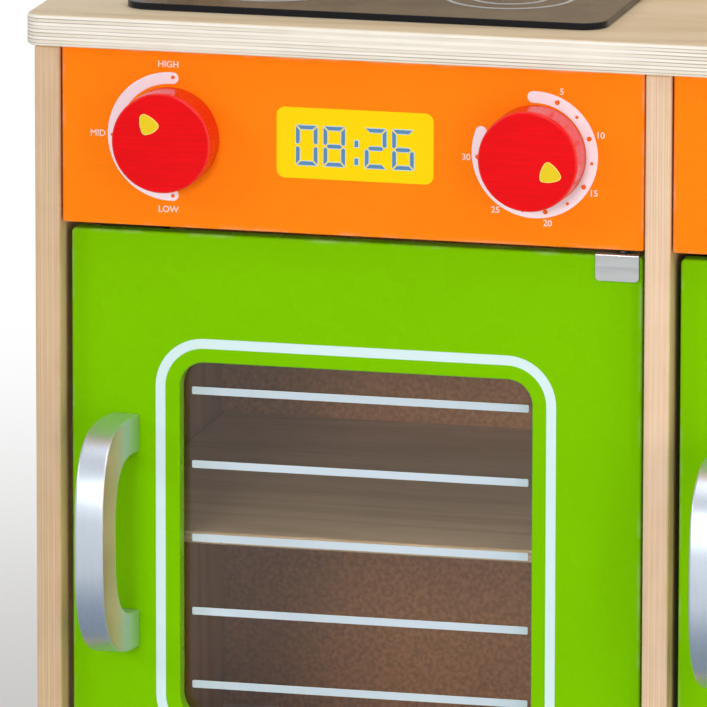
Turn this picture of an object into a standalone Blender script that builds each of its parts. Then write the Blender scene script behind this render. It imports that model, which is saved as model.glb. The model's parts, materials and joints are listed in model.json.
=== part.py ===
"""Play kitchen of plywood and painted board: an oven bay beside a cupboard bay with a sink.

Lengths are in metres, angles in degrees. +Z is up, the front faces -Y and the object stands on Z = 0.
Every piece is one closed solid with its own name, and neighbours that touch keep the small seam SEAM.
"""
import math

import bmesh
import bpy
from mathutils import Matrix, Vector

# Seams, clearances and the fineness of round shapes
SEAM = 0.0003
RUNNING_CLEARANCE = 0.00008
CUT_OVERRUN = 0.002
EDGE_SOFTENING = 0.0008
SIDES_OF_SCREW = 12
SIDES_OF_PIN = 24
SIDES_OF_KNOB = 48
SIDES_OF_BOWL = 56
SIDES_OF_TUBE = 16
STEPS_PER_CORNER = 6
STEPS_PER_KNOB_RIM = 2

# Screw heads, as shares of their radius and height
SCREW_HEAD_FLAT_SHARE = 0.5
SCREW_HEAD_BRIM_SHARE = 0.35

# Carcass of plywood panels
BAY_WIDTH = 0.280
PANEL_THICKNESS = 0.012
CARCASS_DEPTH = 0.300
PLINTH_HEIGHT = 0.045
PLINTH_SETBACK = 0.012
BACK_THICKNESS = 0.004

# Worktop, hob and the shelf unit above it
WORKTOP_THICKNESS = 0.015
WORKTOP_OVERHANG = 0.004
WORKTOP_CORNER_RADIUS = 0.008
HOB_SIDE_MARGIN = 0.025
HOB_FRONT_MARGIN = 0.020
HOB_BACK_MARGIN = 0.048
HOB_THICKNESS = 0.003
HOB_CORNER_RADIUS = 0.012
CHEEK_DEPTH = 0.110
CHEEK_HEIGHT = 0.250
SPLASHBACK_THICKNESS = 0.006

# Fascia boards above the doors
FASCIA_THICKNESS = 0.006
FASCIA_HEIGHT = 0.0836
FASCIA_RECESS = 0.002
FASCIA_SIDE_GAP = 0.0008

# Control knobs on the oven's fascia
KNOB_RADIUS = 0.0236
KNOB_THICKNESS = 0.018
KNOB_RIM_ROUNDING = 0.0016
KNOB_GAP = 0.0005
KNOB_SPACING = 0.1748
KNOB_PAIR_SHIFT = 0.0005
KNOB_LIFT = 0.0012
KNOB_BOLT_RADIUS = 0.002
KNOB_BOLT_REACH = 0.009
KNOB_BOLT_HEAD_RADIUS = 0.0045
KNOB_BOLT_HEAD_HEIGHT = 0.003

# Doors, their window and the clear pane behind it
DOOR_THICKNESS = 0.009
DOOR_HEIGHT = 0.296
DOOR_RECESS = 0.0097
DOOR_SIDE_GAP = 0.003
DOOR_END_GAP = 0.0042
WINDOW_WIDTH = 0.1695
WINDOW_HEIGHT = 0.1726
WINDOW_CORNER_RADIUS = 0.012
PANE_THICKNESS = 0.002
PANE_LAP = 0.012
PANE_SCREW_RADIUS = 0.0013
PANE_SCREW_BITE = 0.0055
PANE_SCREW_HEAD_RADIUS = 0.003
PANE_SCREW_HEAD_HEIGHT = 0.0015

# Bow handles
HANDLE_LENGTH = 0.1125
HANDLE_REACH = 0.0648
HANDLE_WIDTH = 0.0139
HANDLE_GRIP_DEPTH = 0.0233
HANDLE_FOOT_HEIGHT = 0.0181
HANDLE_PLACE_SHARE = 0.6385
HANDLE_LIFT = 0.004
HANDLE_BEND_STEPS = 20
HANDLE_OUTER_BLUNTNESS = 3.2
HANDLE_INNER_BLUNTNESS = 3.2
HANDLE_LEAN_SHARE = 0.1
HANDLE_SCREW_RADIUS = 0.00175
HANDLE_SCREW_BITE = 0.012
HANDLE_SCREW_HEAD_RADIUS = 0.0038
HANDLE_SCREW_HEAD_HEIGHT = 0.002

# Pivot clips, pins and bushes at the doors' hinged corners
CLIP_THICKNESS = 0.001
CLIP_WIDTH = 0.0208
CLIP_HEIGHT = 0.0134
CLIP_INSET = 0.0015
PIVOT_INSET = 0.0100
PIVOT_PIN_RADIUS = 0.002
PIVOT_PIN_BITE = 0.007
BUSH_WALL = 0.0011
BUSH_LENGTH = 0.008
BUSH_FLANGE_RADIUS = 0.005
BUSH_FLANGE_THICKNESS = 0.001

# Magnetic catches and their strike plates
CATCH_WIDTH = 0.030
CATCH_HEIGHT = 0.012
CATCH_DEPTH = 0.016
CATCH_FROM_DOOR_EDGE = 0.026
STRIKE_WIDTH = 0.016
STRIKE_HEIGHT = 0.0065
STRIKE_THICKNESS = 0.0012
STRIKE_DROP = 0.0015

# Oven shelf on four pegs
SHELF_THICKNESS = 0.006
SHELF_TOP_ABOVE_BASE = 0.1491
SHELF_SETBACK = 0.045
SHELF_SIDE_GAP = 0.0006
PEG_RADIUS = 0.003
PEG_BITE = 0.006
PEG_REACH = 0.008
PEG_INSET = 0.030

# Sink bowl
BOWL_RADIUS = 0.088
BOWL_DEPTH = 0.056
BOWL_BEND_RADIUS = 0.020
BOWL_WALL = 0.0016
BOWL_RIM_WIDTH = 0.010
BOWL_CLEARANCE = 0.001
BOWL_FRONT_SHARE = 0.40

# Swivelling tap and its two turning knobs
TAP_GAP_TO_BOWL = 0.003
TAP_BASE_RADIUS = 0.017
TAP_BASE_HEIGHT = 0.014
TAP_BASE_STEP_RADIUS = 0.012
TAP_BASE_STEP_HEIGHT = 0.005
SPOUT_RADIUS = 0.0075
SPOUT_PLUG_RADIUS = 0.005
SPOUT_PLUG_LENGTH = 0.009
SPOUT_RISE = 0.075
SPOUT_BEND_RADIUS = 0.033
SPOUT_DROP = 0.018
SPOUT_BEND_STEPS = 14
TAP_KNOB_SPACING = 0.100
TAP_KNOB_RADIUS = 0.013
TAP_KNOB_HEIGHT = 0.016
TAP_KNOB_NECK_RADIUS = 0.007
TAP_KNOB_NECK_HEIGHT = 0.006
TAP_KNOB_PLUG_RADIUS = 0.004
TAP_KNOB_PLUG_LENGTH = 0.009

# Turns a prism drawn in (y, z) along x into the part's axes
AXES_YZ_ALONG_X = Matrix(((0, 0, 1, 0), (1, 0, 0, 0), (0, 1, 0, 0), (0, 0, 0, 1)))

# Places worked out from the sizes above
HANDLE_PROUD = HANDLE_REACH + SEAM - DOOR_RECESS
BODY_DEPTH = CARCASS_DEPTH + SEAM + BACK_THICKNESS
FRONT = (HANDLE_PROUD - BODY_DEPTH) / 2
REAR = FRONT + CARCASS_DEPTH
HALF_WIDTH = BAY_WIDTH + PANEL_THICKNESS * 3 / 2
OVEN_LEFT = -PANEL_THICKNESS / 2 - BAY_WIDTH
CUPBOARD_LEFT = PANEL_THICKNESS / 2
BASE_TOP = PLINTH_HEIGHT + PANEL_THICKNESS
DOOR_BOTTOM = BASE_TOP + DOOR_END_GAP
DOOR_TOP = DOOR_BOTTOM + DOOR_HEIGHT
DOOR_WIDTH = BAY_WIDTH - 2 * DOOR_SIDE_GAP
DOOR_MIDDLE = DOOR_BOTTOM + DOOR_HEIGHT / 2
DOOR_FRONT = FRONT + DOOR_RECESS
DOOR_BACK = DOOR_FRONT + DOOR_THICKNESS
FASCIA_BOTTOM = DOOR_TOP + DOOR_END_GAP
FASCIA_FRONT = FRONT + FASCIA_RECESS
FASCIA_BACK = FASCIA_FRONT + FASCIA_THICKNESS
KNOB_LEVEL = FASCIA_BOTTOM + FASCIA_HEIGHT / 2 + KNOB_LIFT
WORKTOP_BOTTOM = FASCIA_BOTTOM + FASCIA_HEIGHT + SEAM
WORKTOP_TOP = WORKTOP_BOTTOM + WORKTOP_THICKNESS
BACK_FACE = FRONT + BODY_DEPTH
SHELF_TOP = BASE_TOP + SHELF_TOP_ABOVE_BASE
SHELF_BOTTOM = SHELF_TOP - SHELF_THICKNESS
PIVOT_Y = DOOR_FRONT + DOOR_THICKNESS / 2
SPLASHBACK_FRONT = BACK_FACE - SPLASHBACK_THICKNESS
WINDOW_STILE = (DOOR_WIDTH - WINDOW_WIDTH) / 2
HANDLE_INSET = (WINDOW_STILE - PANE_LAP) * HANDLE_PLACE_SHARE - HANDLE_WIDTH / 2
SINK_DEPTH = 2 * (BOWL_RADIUS + BOWL_RIM_WIDTH) + TAP_GAP_TO_BOWL + 2 * TAP_BASE_RADIUS
SINK_FRONT = FRONT + (SPLASHBACK_FRONT - FRONT - SINK_DEPTH) * BOWL_FRONT_SHARE
BOWL_X = CUPBOARD_LEFT + BAY_WIDTH / 2
BOWL_Y = SINK_FRONT + BOWL_RIM_WIDTH + BOWL_RADIUS
TAP_Y = SINK_FRONT + SINK_DEPTH - TAP_BASE_RADIUS

# Finishes: colour, roughness, metallic
PLYWOOD = ((0.83, 0.69, 0.50), 0.55, 0.0)
ORANGE_PAINT = ((1.00, 0.25, 0.012), 0.30, 0.0)
GREEN_PAINT = ((0.19, 0.52, 0.005), 0.28, 0.0)
RED_PAINT = ((0.80, 0.012, 0.015), 0.30, 0.0)
BLUE_PAINT = ((0.04, 0.20, 0.55), 0.30, 0.0)
BLACK_PAINT = ((0.03, 0.03, 0.035), 0.25, 0.0)
SILVER_PAINT = ((0.66, 0.69, 0.72), 0.25, 0.85)
STEEL = ((0.60, 0.60, 0.60), 0.30, 1.0)
HARDBOARD = ((0.36, 0.22, 0.13), 0.60, 0.0)
CLEAR_ACRYLIC = ((0.92, 0.95, 0.95), 0.05, 0.0)
WHITE_NYLON = ((0.85, 0.85, 0.82), 0.40, 0.0)
BEECH = ((0.70, 0.48, 0.28), 0.50, 0.0)


def clear_scene():
    """Remove every object that the new file starts with."""
    for item in list(bpy.data.objects):
        bpy.data.objects.remove(item)


def make_material(name, finish):
    """Make the Principled material of one piece."""
    colour, roughness, metallic = finish
    material = bpy.data.materials.new(name)
    material.use_nodes = True
    shader = material.node_tree.nodes["Principled BSDF"]
    shader.inputs["Base Color"].default_value = (*colour, 1.0)
    shader.inputs["Roughness"].default_value = roughness
    shader.inputs["Metallic"].default_value = metallic
    return material


def add_piece(name, shape, finish, pivot=(0.0, 0.0, 0.0)):
    """Turn a finished bmesh into a named object whose origin is its pivot."""
    bmesh.ops.recalc_face_normals(shape, faces=shape.faces)
    bmesh.ops.translate(shape, verts=shape.verts, vec=-Vector(pivot))
    mesh = bpy.data.meshes.new(name)
    shape.to_mesh(mesh)
    shape.free()
    piece = bpy.data.objects.new(name, mesh)
    piece.location = pivot
    bpy.context.scene.collection.objects.link(piece)
    mesh.materials.append(make_material(name, finish))
    return piece


def add_block(name, low, high, finish, pivot=(0.0, 0.0, 0.0), softening=EDGE_SOFTENING):
    """Add a named box between two corners."""
    return add_piece(name, block(low, high, softening), finish, pivot)


def combine(piece, shape, operation):
    """Apply an exact Boolean of a piece with a bmesh, and drop the bmesh."""
    tool = add_piece(piece.name + "_tool", shape, PLYWOOD)
    modifier = piece.modifiers.new(operation, "BOOLEAN")
    modifier.operation = operation
    modifier.solver = "EXACT"
    modifier.object = tool
    bpy.context.view_layer.update()
    evaluated = piece.evaluated_get(bpy.context.evaluated_depsgraph_get())
    result = bpy.data.meshes.new_from_object(evaluated)
    piece.modifiers.clear()
    piece.data = result
    result.name = piece.name
    result.materials.clear()
    result.materials.append(bpy.data.materials[piece.name])
    result.polygons.foreach_set("material_index", [0] * len(result.polygons))
    bpy.data.objects.remove(tool)


def cut(piece, shapes):
    """Cut bmeshes that are clear of each other out of a piece, in one step."""
    whole = bmesh.new()
    for shape in shapes:
        mesh = bpy.data.meshes.new(piece.name + "_cut")
        shape.to_mesh(mesh)
        shape.free()
        whole.from_mesh(mesh)
        bpy.data.meshes.remove(mesh)
    combine(piece, whole, "DIFFERENCE")


def block(low, high, softening):
    """Box between two corners with softened edges."""
    shape = bmesh.new()
    bmesh.ops.create_cube(shape, size=1)
    size = [top - bottom for bottom, top in zip(low, high)]
    centre = [(top + bottom) / 2 for bottom, top in zip(low, high)]
    bmesh.ops.scale(shape, verts=shape.verts, vec=size)
    bmesh.ops.translate(shape, verts=shape.verts, vec=centre)
    if softening:
        bmesh.ops.bevel(shape, geom=shape.edges[:], offset=softening, segments=1,
                        affect="EDGES", clamp_overlap=True)
    return shape


def arc(middle, radius, start, end, steps):
    """Points of an arc between two angles in degrees."""
    points = []
    for step in range(steps + 1):
        angle = math.radians(start + (end - start) * step / steps)
        points.append((middle[0] + radius * math.cos(angle), middle[1] + radius * math.sin(angle)))
    return points


def rounded_rectangle(width, height, radius):
    """Points of a rectangle about the origin whose corners are arcs."""
    points = []
    corners = ((1, 1, 0), (-1, 1, 90), (-1, -1, 180), (1, -1, 270))
    for side, end, start in corners:
        middle = (side * (width / 2 - radius), end * (height / 2 - radius))
        points += arc(middle, radius, start, start + 90, STEPS_PER_CORNER)
    return points


def prism(outline, bottom, top):
    """Closed prism over an outline in the XY plane."""
    shape = bmesh.new()
    lower = [shape.verts.new((x, y, bottom)) for x, y in outline]
    upper = [shape.verts.new((x, y, top)) for x, y in outline]
    shape.faces.new(lower[::-1])
    shape.faces.new(upper)
    for index in range(len(outline)):
        after = (index + 1) % len(outline)
        shape.faces.new((lower[index], lower[after], upper[after], upper[index]))
    return shape


def skin(shape, sections):
    """Join a row of cross-sections that have as many corners each."""
    corners = len(sections[0])
    for section, following in zip(sections, sections[1:]):
        for index in range(corners):
            after = (index + 1) % corners
            shape.faces.new((section[index], section[after], following[after], following[index]))


def skin_and_close(shape, sections):
    """Join a row of cross-sections and close both ends with flat faces."""
    skin(shape, sections)
    shape.faces.new(sections[0][::-1])
    shape.faces.new(sections[-1])


def rings_about_z(shape, profile, sides):
    """One ring of vertices about Z for each (radius, height) point."""
    rings = []
    for radius, height in profile:
        ring = arc((0, 0), radius, 0, 360, sides)[:-1]
        rings.append([shape.verts.new((x, y, height)) for x, y in ring])
    return rings


def turned(profile, sides):
    """Closed solid turned about Z from (radius, height) points, with flat ends."""
    shape = bmesh.new()
    skin_and_close(shape, rings_about_z(shape, profile, sides))
    return shape


def turned_ring(profile, sides):
    """Ring-shaped solid turned about Z from a closed loop of (radius, height) points."""
    shape = bmesh.new()
    rings = rings_about_z(shape, profile, sides)
    skin(shape, rings + rings[:1])
    return shape


def aim(shape, place, direction):
    """Turn a shape's +Z to a direction and move its origin to a place."""
    turn = Vector((0, 0, 1)).rotation_difference(Vector(direction)).to_matrix().to_4x4()
    bmesh.ops.transform(shape, matrix=Matrix.Translation(place) @ turn, verts=shape.verts)
    return shape


def rod(place, direction, radius, length, sides):
    """Round bar from a place along a direction."""
    return aim(turned(((radius, 0), (radius, length)), sides), place, direction)


def screw(place, direction, shank_radius, length, head_radius, head_height):
    """Screw whose head sits on a place, with its shank along a direction."""
    flat_radius = head_radius * SCREW_HEAD_FLAT_SHARE
    brim = head_height * SCREW_HEAD_BRIM_SHARE
    profile = ((flat_radius, -head_height), (head_radius, -brim), (head_radius, 0), (shank_radius, 0),
               (shank_radius, length - shank_radius), (shank_radius / 2, length))
    return aim(turned(profile, SIDES_OF_SCREW), place, direction)


def add_side_panels():
    """Two outer panels and the divider, all standing on the floor."""
    lefts = {"side_panel_left": -HALF_WIDTH, "divider_panel": -PANEL_THICKNESS / 2,
             "side_panel_right": HALF_WIDTH - PANEL_THICKNESS}
    panels = {}
    for name, left in lefts.items():
        high = (left + PANEL_THICKNESS, REAR, WORKTOP_BOTTOM - SEAM)
        panels[name] = add_block(name, (left, FRONT, 0), high, PLYWOOD)
    return panels


def add_bay_boards(bay, left):
    """Base board, plinth and top board of one bay, bored for the door's bushes."""
    near = left + SEAM
    far = left + BAY_WIDTH - SEAM
    base = add_block(bay + "_base_board", (near, FRONT, PLINTH_HEIGHT), (far, REAR, BASE_TOP), PLYWOOD)
    plinth_front = FRONT + PLINTH_SETBACK
    plinth_high = (far, plinth_front + PANEL_THICKNESS, PLINTH_HEIGHT - SEAM)
    add_block(bay + "_plinth", (near, plinth_front, 0), plinth_high, PLYWOOD)
    top_high = (far, REAR, FASCIA_BOTTOM + PANEL_THICKNESS)
    top = add_block(bay + "_top_board", (near, FASCIA_BACK + SEAM, FASCIA_BOTTOM), top_high, PLYWOOD)
    pivot_x = left + BAY_WIDTH - DOOR_SIDE_GAP - PIVOT_INSET
    bore_radius = PIVOT_PIN_RADIUS + RUNNING_CLEARANCE + BUSH_WALL + SEAM
    bore_length = BUSH_LENGTH + SEAM + CUT_OVERRUN
    ends = (("upper", top, FASCIA_BOTTOM, 1), ("lower", base, BASE_TOP, -1))
    for end, board, face, direction in ends:
        mouth = (pivot_x, PIVOT_Y, face - direction * CUT_OVERRUN)
        cut(board, [rod(mouth, (0, 0, direction), bore_radius, bore_length, SIDES_OF_PIN)])
        add_bush(bay + "_" + end + "_bush", (pivot_x, PIVOT_Y, face), direction)


def add_bush(name, place, direction):
    """Flanged nylon bush whose flange lies on a board's face."""
    bore = PIVOT_PIN_RADIUS + RUNNING_CLEARANCE
    outer = bore + BUSH_WALL
    flange_low = -SEAM - BUSH_FLANGE_THICKNESS
    profile = ((bore, flange_low), (BUSH_FLANGE_RADIUS, flange_low), (BUSH_FLANGE_RADIUS, -SEAM),
               (outer, -SEAM), (outer, BUSH_LENGTH), (bore, BUSH_LENGTH))
    add_piece(name, aim(turned_ring(profile, SIDES_OF_PIN), place, (0, 0, direction)), WHITE_NYLON)


def add_fascia(name, left, finish):
    """Painted fascia board between the panels, above one door."""
    low = (left + FASCIA_SIDE_GAP, FASCIA_FRONT, FASCIA_BOTTOM)
    high = (left + BAY_WIDTH - FASCIA_SIDE_GAP, FASCIA_BACK, FASCIA_BOTTOM + FASCIA_HEIGHT)
    return add_block(name, low, high, finish)


def add_knob(name, x, fascia):
    """Control knob on its bolt, which runs through the fascia."""
    pivot = (x, FASCIA_FRONT - KNOB_GAP, KNOB_LEVEL)
    rim_middle = (KNOB_RADIUS - KNOB_RIM_ROUNDING, KNOB_THICKNESS - KNOB_RIM_ROUNDING)
    rim = arc(rim_middle, KNOB_RIM_ROUNDING, 0, 90, STEPS_PER_KNOB_RIM)
    profile = [(KNOB_RADIUS - EDGE_SOFTENING, 0), (KNOB_RADIUS, EDGE_SOFTENING)] + rim
    knob = add_piece(name, aim(turned(profile, SIDES_OF_KNOB), pivot, (0, -1, 0)), RED_PAINT, pivot)
    mouth = (x, FASCIA_FRONT - KNOB_GAP + CUT_OVERRUN, KNOB_LEVEL)
    bore_length = CUT_OVERRUN + KNOB_BOLT_REACH + SEAM
    cut(knob, [rod(mouth, (0, -1, 0), KNOB_BOLT_RADIUS + SEAM, bore_length, SIDES_OF_PIN)])
    behind = (x, FASCIA_BACK + CUT_OVERRUN, KNOB_LEVEL)
    through = FASCIA_THICKNESS + 2 * CUT_OVERRUN
    bore_radius = KNOB_BOLT_RADIUS + RUNNING_CLEARANCE
    cut(fascia, [rod(behind, (0, -1, 0), bore_radius, through, SIDES_OF_PIN)])
    seat = (x, FASCIA_BACK + SEAM, KNOB_LEVEL)
    reach = FASCIA_THICKNESS + SEAM + KNOB_GAP + KNOB_BOLT_REACH
    bolt = ((KNOB_BOLT_HEAD_RADIUS, -KNOB_BOLT_HEAD_HEIGHT), (KNOB_BOLT_HEAD_RADIUS, 0),
            (KNOB_BOLT_RADIUS, 0), (KNOB_BOLT_RADIUS, reach))
    add_piece(name + "_bolt", aim(turned(bolt, SIDES_OF_PIN), seat, (0, -1, 0)), STEEL, pivot)


def add_door(bay, left, windowed):
    """Door board with its handle, pivot clips and strike plate; the oven's also has a window."""
    door_left = left + DOOR_SIDE_GAP
    door_right = door_left + DOOR_WIDTH
    pivot = (door_right - PIVOT_INSET, PIVOT_Y, 0.0)
    low = (door_left, DOOR_FRONT, DOOR_BOTTOM)
    panel = add_block(bay + "_door_panel", low, (door_right, DOOR_BACK, DOOR_TOP), GREEN_PAINT, pivot)
    holes = add_handle(bay, door_left + HANDLE_INSET, pivot)
    if windowed:
        holes += add_window(bay, (door_left + door_right) / 2, pivot)
    cut(panel, holes)
    for end, edge, direction in (("upper", DOOR_TOP, 1), ("lower", DOOR_BOTTOM, -1)):
        add_clip(bay + "_" + end + "_clip", door_right, edge, direction, pivot)
    add_catch(bay, door_left + CATCH_FROM_DOOR_EDGE, pivot)


def add_window(bay, middle, pivot):
    """Clear pane and its four screws; returns what the window and they cut out of the door."""
    outline = rounded_rectangle(WINDOW_WIDTH, WINDOW_HEIGHT, WINDOW_CORNER_RADIUS)
    opening = prism(outline, -CUT_OVERRUN, DOOR_THICKNESS + CUT_OVERRUN)
    door_holes = [aim_upright(opening, (middle, DOOR_BACK, DOOR_MIDDLE))]
    pane_holes = []
    half_width = WINDOW_WIDTH / 2 + PANE_LAP
    half_height = WINDOW_HEIGHT / 2 + PANE_LAP
    pane_front = DOOR_BACK + SEAM
    pane_back = pane_front + PANE_THICKNESS
    low = (middle - half_width, pane_front, DOOR_MIDDLE - half_height)
    high = (middle + half_width, pane_back, DOOR_MIDDLE + half_height)
    pane = add_block(bay + "_door_pane", low, high, CLEAR_ACRYLIC, pivot, softening=0)
    radius = PANE_SCREW_RADIUS + SEAM
    through = PANE_THICKNESS + 2 * CUT_OVERRUN
    hole_length = CUT_OVERRUN + PANE_SCREW_BITE + SEAM
    for level, up in (("upper", 1), ("lower", -1)):
        for hand, along in (("left", -1), ("right", 1)):
            x = middle + along * (half_width - PANE_LAP / 2)
            z = DOOR_MIDDLE + up * (half_height - PANE_LAP / 2)
            behind_pane = (x, pane_back + CUT_OVERRUN, z)
            pane_holes.append(rod(behind_pane, (0, -1, 0), radius, through, SIDES_OF_SCREW))
            behind_door = (x, DOOR_BACK + CUT_OVERRUN, z)
            door_holes.append(rod(behind_door, (0, -1, 0), radius, hole_length, SIDES_OF_SCREW))
            length = SEAM + PANE_THICKNESS + SEAM + PANE_SCREW_BITE
            shape = screw((x, pane_back + SEAM, z), (0, -1, 0), PANE_SCREW_RADIUS, length,
                          PANE_SCREW_HEAD_RADIUS, PANE_SCREW_HEAD_HEIGHT)
            add_piece(bay + "_pane_screw_" + level + "_" + hand, shape, STEEL, pivot)
    cut(pane, pane_holes)
    return door_holes


def aim_upright(shape, place):
    """Stand an XY shape up so that its +Z faces the front, at a place."""
    turn = Matrix.Rotation(math.radians(90), 4, "X")
    bmesh.ops.transform(shape, matrix=Matrix.Translation(place) @ turn, verts=shape.verts)
    return shape


def handle_curve(length, reach, bluntness):
    """Side view of a bow: (depth, height) points of a half superellipse from foot to foot."""
    points = []
    for step in range(HANDLE_BEND_STEPS + 1):
        angle = math.pi * step / HANDLE_BEND_STEPS
        across = math.copysign(abs(math.cos(angle)) ** (2 / bluntness), math.cos(angle))
        points.append((reach * math.sin(angle) ** (2 / bluntness), length / 2 * across))
    return points


def add_handle(bay, handle_left, pivot):
    """Bow handle and its two screws from behind; returns what they cut out of the door."""
    middle = DOOR_MIDDLE + HANDLE_LIFT
    outer = handle_curve(HANDLE_LENGTH, HANDLE_REACH, HANDLE_OUTER_BLUNTNESS)
    gap_length = HANDLE_LENGTH - 2 * HANDLE_FOOT_HEIGHT
    inner = handle_curve(gap_length, HANDLE_REACH - HANDLE_GRIP_DEPTH, HANDLE_INNER_BLUNTNESS)
    shape = bmesh.new()
    sections = []
    for (depth, height), (inner_depth, inner_height) in zip(outer, inner):
        section = []
        for x, reach, rise in ((handle_left, depth, height), (handle_left, inner_depth, inner_height),
                               (handle_left + HANDLE_WIDTH, inner_depth, inner_height),
                               (handle_left + HANDLE_WIDTH, depth, height)):
            z = middle + rise + reach * HANDLE_LEAN_SHARE
            section.append(shape.verts.new((x, DOOR_FRONT - SEAM - reach, z)))
        sections.append(section)
    skin_and_close(shape, sections)
    handle = add_piece(bay + "_handle", shape, SILVER_PAINT, pivot)
    x = handle_left + HANDLE_WIDTH / 2
    radius = HANDLE_SCREW_RADIUS + SEAM
    through = DOOR_THICKNESS + 2 * CUT_OVERRUN
    hole_length = CUT_OVERRUN + 2 * SEAM + HANDLE_SCREW_BITE
    door_holes = []
    foot_holes = []
    for level, up in (("upper", 1), ("lower", -1)):
        z = middle + up * (HANDLE_LENGTH - HANDLE_FOOT_HEIGHT) / 2
        behind_door = (x, DOOR_BACK + CUT_OVERRUN, z)
        door_holes.append(rod(behind_door, (0, -1, 0), radius, through, SIDES_OF_SCREW))
        foot = (x, DOOR_FRONT + CUT_OVERRUN, z)
        foot_holes.append(rod(foot, (0, -1, 0), radius, hole_length, SIDES_OF_SCREW))
        length = SEAM + DOOR_THICKNESS + SEAM + HANDLE_SCREW_BITE
        shape = screw((x, DOOR_BACK + SEAM, z), (0, -1, 0), HANDLE_SCREW_RADIUS, length,
                      HANDLE_SCREW_HEAD_RADIUS, HANDLE_SCREW_HEAD_HEIGHT)
        add_piece(bay + "_handle_screw_" + level, shape, STEEL, pivot)
    cut(handle, foot_holes)
    return door_holes


def add_clip(name, door_right, edge, direction, pivot):
    """U-shaped metal clip over a door's corner, with the pivot pin standing on it."""
    inner_front = DOOR_FRONT - SEAM
    inner_back = DOOR_BACK + SEAM
    inner_end = edge + direction * SEAM
    outer_end = inner_end + direction * CLIP_THICKNESS
    mouth = outer_end - direction * CLIP_HEIGHT
    outline = ((inner_front - CLIP_THICKNESS, mouth), (inner_front, mouth), (inner_front, inner_end),
               (inner_back, inner_end), (inner_back, mouth), (inner_back + CLIP_THICKNESS, mouth),
               (inner_back + CLIP_THICKNESS, outer_end), (inner_front - CLIP_THICKNESS, outer_end))
    right = door_right - CLIP_INSET
    shape = prism(outline, right - CLIP_WIDTH, right)
    bmesh.ops.transform(shape, matrix=AXES_YZ_ALONG_X, verts=shape.verts)
    clip = add_piece(name, shape, STEEL, pivot)
    pin_start = (pivot[0], PIVOT_Y, inner_end + direction * CLIP_THICKNESS / 2)
    pin_length = DOOR_END_GAP - SEAM - CLIP_THICKNESS / 2 + PIVOT_PIN_BITE
    combine(clip, rod(pin_start, (0, 0, direction), PIVOT_PIN_RADIUS, pin_length, SIDES_OF_PIN), "UNION")


def add_catch(bay, middle, pivot):
    """Strike plate on the door's back and the magnetic catch under the top board that it meets."""
    plate_front = DOOR_BACK + SEAM
    plate_back = plate_front + STRIKE_THICKNESS
    plate_top = DOOR_TOP - STRIKE_DROP
    low = (middle - STRIKE_WIDTH / 2, plate_front, plate_top - STRIKE_HEIGHT)
    high = (middle + STRIKE_WIDTH / 2, plate_back, plate_top)
    add_block(bay + "_strike_plate", low, high, STEEL, pivot, softening=0)
    catch_front = plate_back + SEAM
    catch_top = FASCIA_BOTTOM - SEAM
    low = (middle - CATCH_WIDTH / 2, catch_front, catch_top - CATCH_HEIGHT)
    high = (middle + CATCH_WIDTH / 2, catch_front + CATCH_DEPTH, catch_top)
    add_block(bay + "_catch", low, high, WHITE_NYLON)


def add_shelf(panels):
    """Oven shelf lying on four pegs in the panels on both sides."""
    far = OVEN_LEFT + BAY_WIDTH
    front = FRONT + SHELF_SETBACK
    low = (OVEN_LEFT + SHELF_SIDE_GAP, front, SHELF_BOTTOM)
    add_block("oven_shelf", low, (far - SHELF_SIDE_GAP, REAR - SEAM, SHELF_TOP), PLYWOOD)
    z = SHELF_BOTTOM - SEAM - PEG_RADIUS
    hole_length = CUT_OVERRUN + PEG_BITE + SEAM
    sides = (("left", OVEN_LEFT, 1, "side_panel_left"), ("right", far, -1, "divider_panel"))
    for hand, face, inward, panel in sides:
        holes = []
        for place, y in (("front", front + PEG_INSET), ("back", REAR - PEG_INSET)):
            mouth = (face + inward * CUT_OVERRUN, y, z)
            holes.append(rod(mouth, (-inward, 0, 0), PEG_RADIUS + SEAM, hole_length, SIDES_OF_SCREW))
            start = (face - inward * PEG_BITE, y, z)
            peg = rod(start, (inward, 0, 0), PEG_RADIUS, PEG_BITE + PEG_REACH, SIDES_OF_SCREW)
            add_piece("shelf_peg_" + place + "_" + hand, peg, BEECH)
        cut(panels[panel], holes)


def overhanging_board(depth, bottom, thickness):
    """Round-cornered board that covers the full width and a depth from the back, and overhangs."""
    width = 2 * (HALF_WIDTH + WORKTOP_OVERHANG)
    full_depth = depth + WORKTOP_OVERHANG
    outline = rounded_rectangle(width, full_depth, WORKTOP_CORNER_RADIUS)
    shape = prism(outline, bottom, bottom + thickness)
    bmesh.ops.translate(shape, verts=shape.verts, vec=(0, BACK_FACE - full_depth / 2, 0))
    return shape


def add_worktop():
    """Worktop over both bays, with the sink's cut-out and the tap's three holes."""
    shape = overhanging_board(BODY_DEPTH, WORKTOP_BOTTOM, WORKTOP_THICKNESS)
    worktop = add_piece("worktop", shape, PLYWOOD)
    below_bowl = (BOWL_X, BOWL_Y, WORKTOP_BOTTOM - CUT_OVERRUN)
    through = WORKTOP_THICKNESS + 2 * CUT_OVERRUN
    holes = [rod(below_bowl, (0, 0, 1), BOWL_RADIUS + BOWL_CLEARANCE, through, SIDES_OF_BOWL)]
    plugs = [(BOWL_X, SPOUT_PLUG_RADIUS, SPOUT_PLUG_LENGTH)]
    for side in (-1, 1):
        plugs.append((BOWL_X + side * TAP_KNOB_SPACING / 2, TAP_KNOB_PLUG_RADIUS, TAP_KNOB_PLUG_LENGTH))
    for x, radius, length in plugs:
        mouth = (x, TAP_Y, WORKTOP_TOP + CUT_OVERRUN)
        hole_length = CUT_OVERRUN + length + SEAM
        holes.append(rod(mouth, (0, 0, -1), radius + RUNNING_CLEARANCE, hole_length, SIDES_OF_PIN))
    cut(worktop, holes)


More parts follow.
